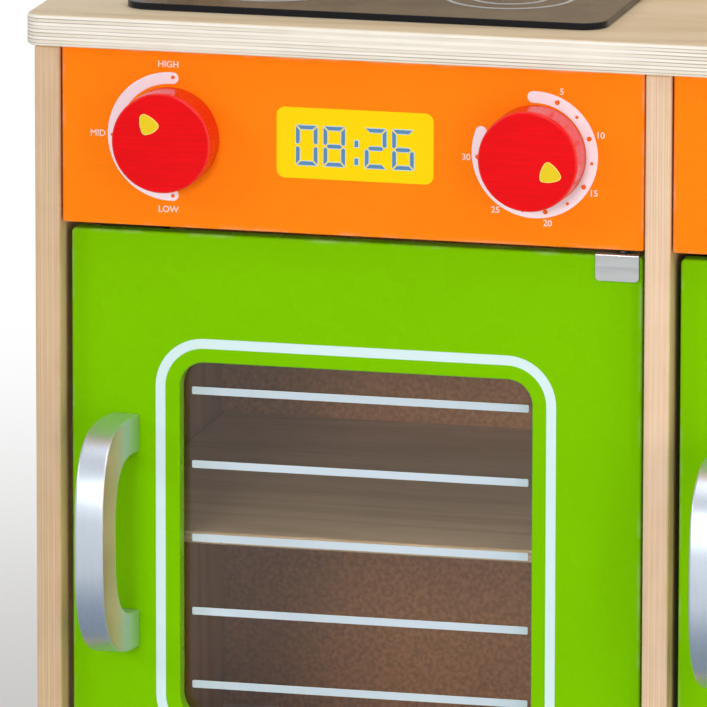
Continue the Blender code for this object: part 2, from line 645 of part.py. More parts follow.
def add_hob():
    """Hob plate on the worktop above the oven."""
    width = BAY_WIDTH - 2 * HOB_SIDE_MARGIN
    front = FRONT + HOB_FRONT_MARGIN
    back = SPLASHBACK_FRONT - HOB_BACK_MARGIN
    shape = prism(rounded_rectangle(width, back - front, HOB_CORNER_RADIUS), 0, HOB_THICKNESS)
    place = (OVEN_LEFT + BAY_WIDTH / 2, (front + back) / 2, WORKTOP_TOP + SEAM)
    bmesh.ops.translate(shape, verts=shape.verts, vec=place)
    add_piece("hob_plate", shape, BLACK_PAINT)


def add_shelf_unit():
    """Two cheeks, the splashback between them and the upper shelf that they carry."""
    bottom = WORKTOP_TOP + SEAM
    top = bottom + CHEEK_HEIGHT
    front = BACK_FACE - CHEEK_DEPTH
    for name, left in (("cheek_left", -HALF_WIDTH), ("cheek_right", HALF_WIDTH - PANEL_THICKNESS)):
        add_block(name, (left, front, bottom), (left + PANEL_THICKNESS, BACK_FACE, top), PLYWOOD)
    inner = HALF_WIDTH - PANEL_THICKNESS - SEAM
    add_block("splashback", (-inner, SPLASHBACK_FRONT, bottom), (inner, BACK_FACE, top), PLYWOOD)
    shape = overhanging_board(CHEEK_DEPTH, top + SEAM, PANEL_THICKNESS)
    add_piece("upper_shelf", shape, PLYWOOD)


def add_bowl():
    """Round sink bowl that hangs by its rim in the worktop's cut-out."""
    inner_bend = BOWL_BEND_RADIUS - BOWL_WALL
    bend_middle = (BOWL_RADIUS - BOWL_BEND_RADIUS, BOWL_BEND_RADIUS - BOWL_DEPTH)
    outside = arc(bend_middle, BOWL_BEND_RADIUS, -90, 0, STEPS_PER_CORNER)
    inside = arc(bend_middle, inner_bend, 0, -90, STEPS_PER_CORNER)
    rim_low = SEAM
    rim_high = SEAM + BOWL_WALL
    rim_radius = BOWL_RADIUS + BOWL_RIM_WIDTH
    rim = [(BOWL_RADIUS, rim_low), (rim_radius, rim_low), (rim_radius, rim_high - BOWL_WALL / 2),
           (rim_radius - BOWL_WALL / 2, rim_high), (BOWL_RADIUS - BOWL_WALL, rim_high)]
    shape = turned(outside + rim + inside, SIDES_OF_BOWL)
    add_piece("sink_bowl", aim(shape, (BOWL_X, BOWL_Y, WORKTOP_TOP), (0, 0, 1)), STEEL)


def add_tap():
    """Tap base, the spout that swivels in it, and the two knobs beside it."""
    seat = (BOWL_X, TAP_Y, WORKTOP_TOP)
    low = SEAM
    high = SEAM + TAP_BASE_HEIGHT
    bore = SPOUT_PLUG_RADIUS + RUNNING_CLEARANCE
    profile = ((bore, low), (TAP_BASE_RADIUS, low), (TAP_BASE_RADIUS, low + TAP_BASE_STEP_HEIGHT),
               (TAP_BASE_STEP_RADIUS, low + TAP_BASE_STEP_HEIGHT + EDGE_SOFTENING),
               (TAP_BASE_STEP_RADIUS, high), (bore, high))
    add_piece("tap_base", aim(turned_ring(profile, SIDES_OF_PIN), seat, (0, 0, 1)), SILVER_PAINT)
    add_spout(seat, high + SEAM)
    for hand, side, finish in (("left", -1, RED_PAINT), ("right", 1, BLUE_PAINT)):
        place = (BOWL_X + side * TAP_KNOB_SPACING / 2, TAP_Y, WORKTOP_TOP)
        collar = KNOB_GAP + TAP_KNOB_NECK_HEIGHT
        top = collar + TAP_KNOB_HEIGHT
        profile = ((TAP_KNOB_PLUG_RADIUS, -TAP_KNOB_PLUG_LENGTH), (TAP_KNOB_PLUG_RADIUS, KNOB_GAP),
                   (TAP_KNOB_NECK_RADIUS, KNOB_GAP), (TAP_KNOB_NECK_RADIUS, collar),
                   (TAP_KNOB_RADIUS, collar + KNOB_RIM_ROUNDING),
                   (TAP_KNOB_RADIUS, top - KNOB_RIM_ROUNDING), (TAP_KNOB_RADIUS - KNOB_RIM_ROUNDING, top))
        shape = aim(turned(profile, SIDES_OF_PIN), place, (0, 0, 1))
        add_piece("tap_knob_" + hand, shape, finish, place)


def add_spout(seat, lift):
    """Swan-neck spout with a plug that turns in the tap base and the worktop."""
    path = [Vector((0, 0, lift)), Vector((0, 0, lift + SPOUT_RISE))]
    middle = Vector((0, -SPOUT_BEND_RADIUS, lift + SPOUT_RISE))
    for step in range(1, SPOUT_BEND_STEPS + 1):
        angle = math.pi * step / SPOUT_BEND_STEPS
        path.append(middle + SPOUT_BEND_RADIUS * Vector((0, math.cos(angle), math.sin(angle))))
    path.append(path[-1] - Vector((0, 0, SPOUT_DROP)))
    shape = bmesh.new()
    rings = []
    for index, point in enumerate(path):
        along = (path[min(index + 1, len(path) - 1)] - path[max(index - 1, 0)]).normalized()
        outward = along.cross(Vector((1, 0, 0)))
        ring = []
        for across, up in arc((0, 0), SPOUT_RADIUS, 0, 360, SIDES_OF_TUBE)[:-1]:
            ring.append(shape.verts.new(point + Vector((across, 0, 0)) + outward * up))
        rings.append(ring)
    skin_and_close(shape, rings)
    bmesh.ops.translate(shape, verts=shape.verts, vec=seat)
    spout = add_piece("tap_spout", shape, SILVER_PAINT, seat)
    plug_top = (seat[0], seat[1], seat[2] + lift + SPOUT_RADIUS)
    plug_length = SPOUT_RADIUS + lift + SPOUT_PLUG_LENGTH
    combine(spout, rod(plug_top, (0, 0, -1), SPOUT_PLUG_RADIUS, plug_length, SIDES_OF_PIN), "UNION")


def build():
    """Build every piece of the play kitchen."""
    clear_scene()
    panels = add_side_panels()
    for bay, left in (("oven", OVEN_LEFT), ("cupboard", CUPBOARD_LEFT)):
        add_bay_boards(bay, left)
        add_door(bay, left, windowed=bay == "oven")
    low = (-HALF_WIDTH, REAR + SEAM, PLINTH_HEIGHT)
    add_block("back_panel", low, (HALF_WIDTH, BACK_FACE, WORKTOP_BOTTOM - SEAM), HARDBOARD, softening=0)
    control_panel = add_fascia("control_panel", OVEN_LEFT, ORANGE_PAINT)
    add_fascia("sink_fascia", CUPBOARD_LEFT, ORANGE_PAINT)
    middle = OVEN_LEFT + BAY_WIDTH / 2 + KNOB_PAIR_SHIFT
    add_knob("heat_knob", middle - KNOB_SPACING / 2, control_panel)
    add_knob("timer_knob", middle + KNOB_SPACING / 2, control_panel)
    add_shelf(panels)
    add_worktop()
    add_hob()
    add_shelf_unit()
    add_bowl()
    add_tap()


build()
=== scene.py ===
"""Dress the play kitchen in painted boards, plywood, printed controls, handles, a hob and a sink.

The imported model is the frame, in metres: +Z is up and the fronts of the doors face -Y.
Each sub-assembly is a class that models its fine pieces round the frame's nodes and gives
the nodes that stay a better finish.
"""
import json
import logging
import math
from collections.abc import Callable, Iterator, Sequence
from contextlib import contextmanager
from dataclasses import dataclass, replace
from enum import Enum

import bmesh
import bpy
from mathutils import Matrix, Vector

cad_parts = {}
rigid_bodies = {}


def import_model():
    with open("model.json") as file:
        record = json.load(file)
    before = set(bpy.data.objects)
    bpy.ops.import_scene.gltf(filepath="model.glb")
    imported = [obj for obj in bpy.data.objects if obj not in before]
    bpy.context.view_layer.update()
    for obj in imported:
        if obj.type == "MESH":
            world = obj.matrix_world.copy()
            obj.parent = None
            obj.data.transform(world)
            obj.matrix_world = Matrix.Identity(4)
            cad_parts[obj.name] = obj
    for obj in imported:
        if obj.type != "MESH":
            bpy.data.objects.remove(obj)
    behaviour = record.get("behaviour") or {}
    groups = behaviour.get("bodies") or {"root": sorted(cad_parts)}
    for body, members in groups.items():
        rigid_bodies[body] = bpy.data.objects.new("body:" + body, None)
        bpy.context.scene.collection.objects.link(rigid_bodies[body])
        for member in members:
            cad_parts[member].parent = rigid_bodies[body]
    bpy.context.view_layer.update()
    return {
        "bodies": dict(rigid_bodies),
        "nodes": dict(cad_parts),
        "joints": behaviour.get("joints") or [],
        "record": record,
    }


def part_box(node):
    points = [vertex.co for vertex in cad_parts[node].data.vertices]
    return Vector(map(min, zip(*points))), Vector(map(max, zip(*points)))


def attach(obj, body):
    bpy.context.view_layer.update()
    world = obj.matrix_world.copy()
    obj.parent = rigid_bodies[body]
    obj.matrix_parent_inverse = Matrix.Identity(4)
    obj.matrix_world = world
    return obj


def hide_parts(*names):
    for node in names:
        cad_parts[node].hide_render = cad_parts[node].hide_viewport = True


LOG = logging.getLogger("play_kitchen")

Colour = tuple[float, float, float, float]
Corner = tuple[float, float, float]
Point = tuple[float, float]
Outline = list[Point]
EdgeTest = Callable[[Vector, Vector], bool]  # is given an edge's two ends
FaceTest = Callable[[Vector, Vector], bool]  # is given a face's middle and normal
Piece = bpy.types.Object
Node = bpy.types.Node
Socket = bpy.types.NodeSocket
Sockets = bpy.types.NodeOutputs

WHITE: Colour = (1.0, 1.0, 1.0, 1.0)
UP = Vector((0.0, 0.0, 1.0))
INK = 0.0001  # thickness of one printed layer
SAME_PLACE = 0.0001  # places that differ by less count as one


class Body(Enum):
    """The bodies that pieces ride on."""

    CARCASS = "carcass"
    OVEN_DOOR = "oven_door"
    CUPBOARD_DOOR = "cupboard_door"
    HEAT_CONTROL = "heat_control"
    TIMER_CONTROL = "timer_control"
    SPOUT = "spout"
    LEFT_TAP = "left_tap"
    RIGHT_TAP = "right_tap"


class Axis(Enum):
    """The three axes of the frame, by their place in a vector."""

    X = 0
    Y = 1
    Z = 2

    def vector(self) -> Vector:
        """Unit vector along the axis."""
        return Vector([float(index == self.value) for index in range(3)])

    def drawn_out(self, share: float) -> Vector:
        """Scale that draws a pattern out along the axis by shrinking it there by a share."""
        return Vector((1.0, 1.0, 1.0)) - self.vector() * share


class Facing(Enum):
    """The side of a board that a print lies on."""

    FRONT = "front"
    TOP = "top"

    def turn(self) -> Matrix:
        """Turn that stands a flat XY drawing up on that side."""
        return Matrix.Rotation(math.radians(90 if self is Facing.FRONT else 0), 4, "X")


def tone(red: int, green: int, blue: int) -> Colour:
    """Linear colour of an 8-bit screen colour.

    Args:
        red: Red from 0 to 255.
        green: Green from 0 to 255.
        blue: Blue from 0 to 255.

    Returns:
        The colour as four linear numbers, fully opaque.
    """
    shares = [value / 255 for value in (red, green, blue)]
    linear = [s / 12.92 if s <= 0.04045 else ((s + 0.055) / 1.055) ** 2.4 for s in shares]
    return (*linear, 1.0)


class Graph:
    """Short hand for adding and linking nodes in one tree."""

    def __init__(self, tree: bpy.types.NodeTree) -> None:
        """Work on a node tree."""
        self.tree = tree

    def feed(self, socket: Socket, value: object) -> None:
        """Link a socket into another, or set it to a plain value.

        Args:
            socket: The input socket.
            value: A socket, or a plain value.
        """
        if isinstance(value, Socket):
            self.tree.links.new(value, socket)
        else:
            socket.default_value = value

    def fill(self, node: Node, inputs: dict[object, object]) -> None:
        """Feed several inputs of a node, named or numbered."""
        for name, value in inputs.items():
            self.feed(node.inputs[name], value)

    def add(self, kind: str, inputs: dict[object, object] | None = None,
            **settings: object) -> Node:
        """Add a node.

        Args:
            kind: The node's type without its "ShaderNode" beginning.
            inputs: What goes into its sockets, by socket name or number.
            **settings: Settings of the node itself.

        Returns:
            The new node.
        """
        node = self.tree.nodes.new("ShaderNode" + kind)
        for name, value in settings.items():
            setattr(node, name, value)
        self.fill(node, inputs or {})
        return node

    def math(self, operation: str, *values: object, clamp: bool = False) -> Socket:
        """Result of a calculation with sockets and numbers, kept from 0 to 1 by clamp."""
        node = self.add("Math", dict(enumerate(values)), operation=operation, use_clamp=clamp)
        return node.outputs[0]

    def weigh(self, *parts: tuple[Socket, object]) -> Socket:
        """Add numbers up by weight.

        Args:
            *parts: Pairs of a number's socket and its weight.

        Returns:
            The sum's socket.
        """
        total = self.math("MULTIPLY", *parts[0])
        for value, weight in parts[1:]:
            total = self.math("MULTIPLY_ADD", value, weight, total)
        return total

    def vector(self, operation: str, *values: object) -> Socket:
        """Result of a calculation with vectors, which is a number for a dot product."""
        node = self.add("VectorMath", dict(enumerate(values)), operation=operation)
        return node.outputs["Value" if operation == "DOT_PRODUCT" else "Vector"]

    def blend(self, share: object, first: object, second: object) -> Socket:
        """Mix two colours, of which the second shows by a share from 0 to 1."""
        return self.add("Mix", {0: share, 6: first, 7: second}, data_type="RGBA").outputs[2]

    def spread(self, value: object, low: float, high: float, start: float = 0.0,
               end: float = 1.0) -> Socket:
        """Map a number smoothly from the range low to high to the range start to end."""
        inputs = {0: value, 1: low, 2: high, 3: start, 4: end}
        return self.add("MapRange", inputs, interpolation_type="SMOOTHSTEP").outputs[0]

    def noise(self, place: object, scale: object, detail: float = 3.0,
              distortion: float = 0.0) -> Socket:
        """Noise from about 0 to 1, with scale patches to the metre and detail finer layers."""
        inputs = {"Vector": place, "Scale": scale, "Detail": detail, "Distortion": distortion}
        return self.add("TexNoise", inputs).outputs["Fac"]

    def own_place(self) -> Socket:
        """Place on the piece itself, in metres."""
        return self.add("TexCoord").outputs["Object"]

    def own_normal(self) -> Socket:
        """Direction of the surface on the piece itself."""
        return self.add("TexCoord").outputs["Normal"]


class SocketKind(Enum):
    """Kinds of socket that the shared effects have."""

    NUMBER = "NodeSocketFloat"
    VECTOR = "NodeSocketVector"
    COLOUR = "NodeSocketColor"


class Effect:
    """A shared effect: a shader node group that is built once and placed in many materials."""

    name = "effect"
    inputs: dict[str, SocketKind] = {}
    outputs: dict[str, SocketKind] = {}

    def compose(self, graph: Graph, given: Sockets) -> dict[str, object]:
        """Build the group's inside and return what feeds each named output."""
        raise NotImplementedError

    def group(self) -> bpy.types.NodeTree:
        """Find the group, or build it the first time.

        Returns:
            The group.
        """
        found = bpy.data.node_groups.get(self.name)
        if found:
            return found
        tree = bpy.data.node_groups.new(self.name, "ShaderNodeTree")
        for side, sockets in (("INPUT", self.inputs), ("OUTPUT", self.outputs)):
            for name, kind in sockets.items():
                tree.interface.new_socket(name, in_out=side, socket_type=kind.value)
        graph = Graph(tree)
        given = tree.nodes.new("NodeGroupInput")
        graph.fill(tree.nodes.new("NodeGroupOutput"), self.compose(graph, given.outputs))
        return tree

    def place(self, graph: Graph, **values: object) -> Node:
        """Place the group in a material.

        Args:
            graph: The material's tree.
            **values: What goes into the group's inputs, with _ for each space.

        Returns:
            The group's node.
        """
        named = {name.replace("_", " ").title(): value for name, value in values.items()}
        node = graph.add("Group", node_tree=self.group())
        graph.fill(node, named)
        return node


class SprayedCoat(Effect):
    """The fine unevenness of a sprayed or moulded surface."""

    name = "sprayed_coat"
    inputs = {"Grain Size": SocketKind.NUMBER, "Base": SocketKind.COLOUR,
              "Deep": SocketKind.COLOUR, "Gloss": SocketKind.NUMBER}
    outputs = {"Color": SocketKind.COLOUR, "Roughness": SocketKind.NUMBER,
               "Height": SocketKind.NUMBER}

    def compose(self, graph: Graph, given: Sockets) -> dict[str, object]:
        """Mottle the colour and gloss broadly, and the height finely.

        Args:
            graph: The group's tree.
            given: The group's inputs, by name.

        Returns:
            What each named output is fed with.
        """
        place = graph.own_place()
        broad = graph.noise(place, scale=9.0, detail=2.0)
        fine = graph.noise(place, given["Grain Size"], detail=2.0)
        cloud = graph.spread(graph.noise(place, scale=42.0, detail=4.0), low=0.35, high=0.75)
        share = graph.weigh((broad, 0.45), (fine, 0.35))
        return {"Color": graph.blend(share, given["Base"], given["Deep"]),
                "Roughness": graph.math("MULTIPLY_ADD", cloud, 0.07, given["Gloss"]),
                "Height": fine}


class EdgeRub(Effect):
    """Handling marks along the edges of a board whose corners are known."""

    name = "edge_rub"
    inputs = {"Low": SocketKind.VECTOR, "High": SocketKind.VECTOR, "Reach": SocketKind.NUMBER}
    outputs = {"Mask": SocketKind.NUMBER}

    def compose(self, graph: Graph, given: Sockets) -> dict[str, object]:
        """Mark what is near an edge of the box, broken up by noise.

        Args:
            graph: The group's tree.
            given: The group's inputs, by name.

        Returns:
            What each named output is fed with.
        """
        place = graph.own_place()
        above = graph.vector("SUBTRACT", place, given["Low"])
        below = graph.vector("SUBTRACT", given["High"], place)
        nearest = graph.add("SeparateXYZ", {0: graph.vector("MINIMUM", above, below)}).outputs
        lower = graph.math("MINIMUM", nearest[0], nearest[1])
        upper = graph.math("MAXIMUM", nearest[0], nearest[1])
        middle = graph.math("MAXIMUM", lower, graph.math("MINIMUM", upper, nearest[2]))
        near = graph.math("DIVIDE", middle, given["Reach"])
        broken = graph.spread(graph.noise(place, scale=75.0, detail=5.0), low=0.42, high=0.72)
        near = graph.spread(near, low=1.0, high=0.1)
        return {"Mask": graph.math("MULTIPLY", near, broken)}


class PlyLayers(Effect):
    """Plywood: veneer figure on the faces, thin layers with glue lines on the edges."""

    name = "ply_layers"
    inputs = {"Stretch": SocketKind.VECTOR, "Thin Axis": SocketKind.VECTOR,
              "Low": SocketKind.NUMBER, "Thickness": SocketKind.NUMBER,
              "Plies": SocketKind.NUMBER, "Shift": SocketKind.NUMBER,
              "Contrast": SocketKind.NUMBER, "Lines": SocketKind.NUMBER,
              "Pale": SocketKind.COLOUR, "Deep": SocketKind.COLOUR,
              "Edge Pale": SocketKind.COLOUR, "Edge Deep": SocketKind.COLOUR,
              "Glue": SocketKind.COLOUR}
    outputs = {"Color": SocketKind.COLOUR, "Roughness": SocketKind.NUMBER,
               "Height": SocketKind.NUMBER}

    def compose(self, graph: Graph, given: Sockets) -> dict[str, object]:
        """Draw the veneer and the layers, and choose between them by the surface's direction.

        Args:
            graph: The group's tree.
            given: The group's inputs, by name.

        Returns:
            What each named output is fed with.
        """
        place = graph.own_place()
        moved = graph.vector("ADD", place, given["Shift"])
        drawn = graph.vector("MULTIPLY", moved, given["Stretch"])
        fibre = graph.noise(drawn, scale=420.0)
        face, relief = self.face(graph, given, drawn, fibre)
        edge, groove = self.edge(graph, given, place, drawn)
        aligned = graph.vector("DOT_PRODUCT", graph.own_normal(), given["Thin Axis"])
        on_face = graph.math("GREATER_THAN", graph.math("ABSOLUTE", aligned), 0.75)
        height = graph.add("Mix", {0: on_face, 2: groove, 3: relief}).outputs[0]
        rough = graph.math("MULTIPLY_ADD", on_face, -0.13, 0.62)
        rough = graph.math("MULTIPLY_ADD", fibre, 0.10, rough)
        return {"Color": graph.blend(on_face, edge, face), "Roughness": rough, "Height": height}

    @staticmethod
    def face(graph: Graph, given: Sockets, drawn: Socket, fibre: Socket) -> tuple[Socket, Socket]:
        """Draw the veneer with its growth rings, fibres and pores.

        Args:
            graph: The group's tree.
            given: The group's inputs, by name.
            drawn: Place on the board, drawn out along the grain.
            fibre: The finest lines of the wood.

        Returns:
            The veneer's colour and its relief.
        """
        figure = graph.noise(drawn, scale=34.0, detail=5.0, distortion=1.0)
        growth = graph.noise(drawn, scale=8.0, detail=1.5, distortion=0.5)
        growth = graph.math("PINGPONG", graph.math("MULTIPLY", growth, 34.0), 1.0)
        late = graph.spread(growth, low=0.35, high=1.0)
        pores = graph.spread(graph.noise(drawn, scale=900.0, detail=2.0), low=0.60, high=0.74)
        share = graph.weigh((figure, 0.50), (late, 0.16), (fibre, 0.34))
        share = graph.spread(share, low=0.30, high=0.78)
        colour = graph.blend(share, given["Pale"], given["Deep"])
        colour = graph.blend(graph.math("MULTIPLY", pores, 0.22), colour, given["Glue"])
        return colour, graph.weigh((fibre, 0.5), (pores, -0.5))

    @staticmethod
    def edge(graph: Graph, given: Sockets, place: Socket, drawn: Socket) -> tuple[Socket, Socket]:
        """Draw the plies, every other one darker, and the broken glue lines between them.

        Args:
            graph: The group's tree.
            given: The group's inputs, by name.
            place: Place on the board.
            drawn: The same, drawn out along the grain.

        Returns:
            The edge's colour and its relief.
        """
        across = graph.vector("DOT_PRODUCT", place, given["Thin Axis"])
        level = graph.math("DIVIDE", graph.math("SUBTRACT", across, given["Low"]),
                           given["Thickness"])
        wobble = graph.math("MULTIPLY", graph.noise(place, scale=30.0), 0.22)
        layer = graph.math("MULTIPLY_ADD", level, given["Plies"], wobble)
        within = graph.math("FRACT", layer)
        turned = graph.math("MODULO", graph.math("FLOOR", layer), 2.0)
        speckle = graph.noise(drawn, scale=480.0)
        broad = graph.noise(place, scale=55.0)
        depth = graph.weigh((turned, given["Contrast"]), (speckle, 0.45), (broad, 0.35))
        depth = graph.spread(depth, low=0.2, high=1.05)
        colour = graph.blend(depth, given["Edge Pale"], given["Edge Deep"])
        seam = graph.math("MINIMUM", within, graph.math("SUBTRACT", 1.0, within))
        broken = graph.spread(graph.noise(drawn, scale=85.0), low=0.34, high=0.62)
        line = graph.math("MULTIPLY", graph.spread(seam, low=0.17, high=0.03), broken)
        colour = graph.blend(graph.math("MULTIPLY", line, given["Lines"]), colour, given["Glue"])
        return colour, graph.weigh((speckle, 0.6), (line, -1.0))


class DrawnLines(Effect):
    """Fine lines left by brushing, drawing or a hidden wood grain."""

    name = "drawn_lines"
    inputs = {"Stretch": SocketKind.VECTOR, "Grain Size": SocketKind.NUMBER,
              "Base": SocketKind.COLOUR, "Deep": SocketKind.COLOUR, "Gloss": SocketKind.NUMBER,
              "Share": SocketKind.NUMBER}
    outputs = {"Color": SocketKind.COLOUR, "Roughness": SocketKind.NUMBER,
               "Height": SocketKind.NUMBER}

    def compose(self, graph: Graph, given: Sockets) -> dict[str, object]:
        """Draw long fine lines and let them vary the colour, gloss and height.

        Args:
            graph: The group's tree.
            given: The group's inputs, by name.

        Returns:
            What each named output is fed with.
        """
        place = graph.own_place()
        drawn = graph.vector("MULTIPLY", place, given["Stretch"])
        lines = graph.noise(drawn, given["Grain Size"], detail=4.0, distortion=0.2)
        mixed = graph.weigh((lines, 0.7), (graph.noise(place, scale=60.0), 0.3))
        share = graph.math("MULTIPLY", graph.spread(mixed, low=0.32, high=0.70), given["Share"])
        return {"Color": graph.blend(share, given["Base"], given["Deep"]),
                "Roughness": graph.math("MULTIPLY_ADD", mixed, 0.12, given["Gloss"]),
                "Height": lines}


@dataclass(frozen=True)
class Finish:
    """A surface finish that becomes one node material."""

    name: str

    def compose(self, graph: Graph, shader: Node) -> None:
        """Feed the Principled shader; each kind of finish does this its own way."""
        raise NotImplementedError

    def material(self) -> bpy.types.Material:
        """Find the material, or make it the first time.

        Returns:
            The material.
        """
        found = bpy.data.materials.get("finish_" + self.name)
        if found:
            return found
        made = bpy.data.materials.new("finish_" + self.name)
        made.use_nodes = True
        self.compose(Graph(made.node_tree), made.node_tree.nodes["Principled BSDF"])
        return made

    @staticmethod
    def bump(graph: Graph, height: Socket, strength: float, distance: float) -> Socket:
        """Turn a relief that is distance metres deep into a rougher surface direction."""
        inputs = {"Height": height, "Strength": strength, "Distance": distance}
        return graph.add("Bump", inputs).outputs["Normal"]


@dataclass(frozen=True)
class Lacquer(Finish):
    """Sprayed paint, printed ink, or another surface as even, such as nylon and hardboard."""

    colour: Colour
    deep: Colour
    gloss: float = 0.25
    coat: float = 0.02
    grain_size: float = 900.0
    relief: float = 0.00003
    low: Corner | None = None
    high: Corner | None = None
    mottle: float = 0.0

    def compose(self, graph: Graph, shader: Node) -> None:
        """Spray the coat, rub a board's edges a little paler, and mottle pressed fibres.

        Args:
            graph: The material's tree.
            shader: The Principled shader.
        """
        coat = SprayedCoat().place(graph, grain_size=self.grain_size, base=self.colour,
                                   deep=self.deep, gloss=self.gloss)
        colour = coat.outputs["Color"]
        rough = coat.outputs["Roughness"]
        if self.mottle:
            flecks = graph.noise(graph.own_place(), scale=420.0)
            flecks = graph.math("MULTIPLY", graph.spread(flecks, low=0.35, high=0.65), self.mottle)
            colour = graph.blend(flecks, colour, self.deep)
        if self.low is not None:
            rub = EdgeRub().place(graph, low=self.low, high=self.high, reach=0.0022)
            mask = graph.math("MULTIPLY", rub.outputs["Mask"], 0.35)
            colour = graph.blend(mask, colour, graph.blend(0.35, self.colour, WHITE))
            rough = graph.math("MULTIPLY_ADD", mask, 0.3, rough)
        relief = self.bump(graph, coat.outputs["Height"], 0.35, self.relief)
        graph.fill(shader, {"Base Color": colour, "Roughness": rough, "Normal": relief,
                            "Specular Tint": self.deep, "Coat Weight": self.coat,
                            "Coat Roughness": 0.12})


@dataclass(frozen=True)
class Plywood(Finish):
    """Clear-lacquered plywood board between two corners."""

    low: Corner
    high: Corner
    grain: Axis
    ply_thickness: float = 0.0017
    pale: Colour = tone(236, 217, 186)
    deep: Colour = tone(214, 187, 148)
    edge_pale: Colour = tone(232, 211, 180)
    edge_deep: Colour = tone(200, 165, 124)
    glue: Colour = tone(128, 92, 60)
    contrast: float = 0.28
    lines: float = 0.55

    def compose(self, graph: Graph, shader: Node) -> None:
        """Lay the plies across the board's thinnest way and the figure along its grain.

        Args:
            graph: The material's tree.
            shader: The Principled shader.
        """
        size = [top - bottom for bottom, top in zip(self.low, self.high)]
        thin = Axis(size.index(min(size)))
        thickness = size[thin.value]
        plies = max(3, 2 * round(thickness / self.ply_thickness / 2) + 1)
        layers = PlyLayers().place(
            graph, stretch=self.grain.drawn_out(0.93), thin_axis=thin.vector(),
            low=self.low[thin.value], thickness=thickness, plies=plies,
            shift=sum(self.low) * 7, pale=self.pale, deep=self.deep, edge_pale=self.edge_pale,
            edge_deep=self.edge_deep, glue=self.glue, contrast=self.contrast, lines=self.lines)
        rub = EdgeRub().place(graph, low=self.low, high=self.high, reach=0.003)
        mask = graph.math("MULTIPLY", rub.outputs["Mask"], 0.3)
        colour = graph.blend(mask, layers.outputs["Color"], self.edge_deep)
        relief = self.bump(graph, layers.outputs["Height"], 0.4, 0.0001)
        graph.fill(shader, {"Base Color": colour, "Roughness": layers.outputs["Roughness"],
                            "Normal": relief, "Coat Weight": 0.12, "Coat Roughness": 0.35})


@dataclass(frozen=True)
class Drawn(Finish):
    """Metal, silver paint or painted wood with fine lines along one way."""

    colour: Colour
    deep: Colour
    along: Axis
    metallic: float = 1.0
    gloss: float = 0.22
    share: float = 0.6
    grain_size: float = 700.0
    relief: float = 0.00002
    coat: float = 0.0
    shine: Colour = WHITE
    # Colour of a painted reflection on the faces turned sideways, over a span of depth.
    side_reflection: Colour | None = None
    side_reflection_span: Point = (0.0, 1.0)
    # Colour of a painted highlight round a front's rim.
    rim_highlight: Colour | None = None

    def compose(self, graph: Graph, shader: Node) -> None:
        """Draw the lines; the sides may get another tone as a painted reflection, and the rim
        round a front a patchy painted highlight.

        Args:
            graph: The material's tree.
            shader: The Principled shader.
        """
        lines = DrawnLines().place(graph, stretch=self.along.drawn_out(0.95),
                                   grain_size=self.grain_size, base=self.colour,
                                   deep=self.deep, gloss=self.gloss, share=self.share)
        colour = lines.outputs["Color"]
        # Painted reflection: faces turned sideways take another colour over a span of depth.
        if self.side_reflection is not None:
            sideways = graph.vector("DOT_PRODUCT", graph.own_normal(), Axis.X.vector())
            sideways = graph.spread(graph.math("ABSOLUTE", sideways), low=0.75, high=0.97)
            depth = graph.vector("DOT_PRODUCT", graph.own_place(), Axis.Y.vector())
            mask = graph.math("MULTIPLY", sideways, graph.spread(depth, *self.side_reflection_span))
            colour = graph.blend(mask, colour, self.side_reflection)
        # Painted highlight: the rim between the front and the sides turns paler in patches.
        if self.rim_highlight is not None:
            forward = graph.vector("DOT_PRODUCT", graph.own_normal(), Axis.Y.vector())
            forward = graph.math("ABSOLUTE", forward, clamp=True)
            rim = graph.math("MULTIPLY", forward, graph.math("SUBTRACT", 1.0, forward))
            patches = graph.spread(graph.noise(graph.own_place(), scale=160.0), low=0.3,
                                   high=0.6, start=0.3, end=1.2)
            mask = graph.math("MULTIPLY", rim, patches, clamp=True)
            colour = graph.blend(mask, colour, self.rim_highlight)
        relief = self.bump(graph, lines.outputs["Height"], 0.5, self.relief)
        graph.fill(shader, {"Base Color": colour, "Roughness": lines.outputs["Roughness"],
                            "Normal": relief, "Metallic": self.metallic,
                            "Specular Tint": self.shine, "Coat Weight": self.coat,
                            "Coat Roughness": 0.15})


@dataclass(frozen=True)
class ClearSheet(Finish):
    """Clear acrylic sheet that lets the lamps' light through, with a grey tint that darkens the
    oven's inside as painted shade.
    """

    # Grey tint that dims the view into the oven: painted shade.
    tint: Colour = tone(228, 224, 217)

    def compose(self, graph: Graph, shader: Node) -> None:
        """Make the sheet clear, with faint polishing haze.

        Args:
            graph: The material's tree.
            shader: The Principled shader.
        """
        haze = SprayedCoat().place(graph, grain_size=160.0, base=self.tint, deep=self.tint,
                                   gloss=0.0)
        rough = graph.math("MULTIPLY", haze.outputs["Roughness"], 0.4)
        graph.fill(shader, {"Base Color": haze.outputs["Color"], "Roughness": rough,
                            "Transmission Weight": 1.0, "Specular IOR Level": 0.2, "IOR": 1.49})
        # The same tint dims the lamps' light into the oven: painted shade.
        lamps = graph.add("BsdfTransparent", {"Color": self.tint})
        shadow = graph.add("LightPath").outputs["Is Shadow Ray"]
        both = graph.add("MixShader", {0: shadow, 1: shader.outputs[0], 2: lamps.outputs[0]})
        graph.feed(graph.tree.nodes["Material Output"].inputs["Surface"], both.outputs[0])


def ink(name: str, colour: Colour, deep: Colour, gloss: float = 0.34) -> Lacquer:
    """Printed ink, which is deeper in colour where it lies thick."""
    return Lacquer(name, colour, deep, gloss, grain_size=2200.0, relief=0.00001)


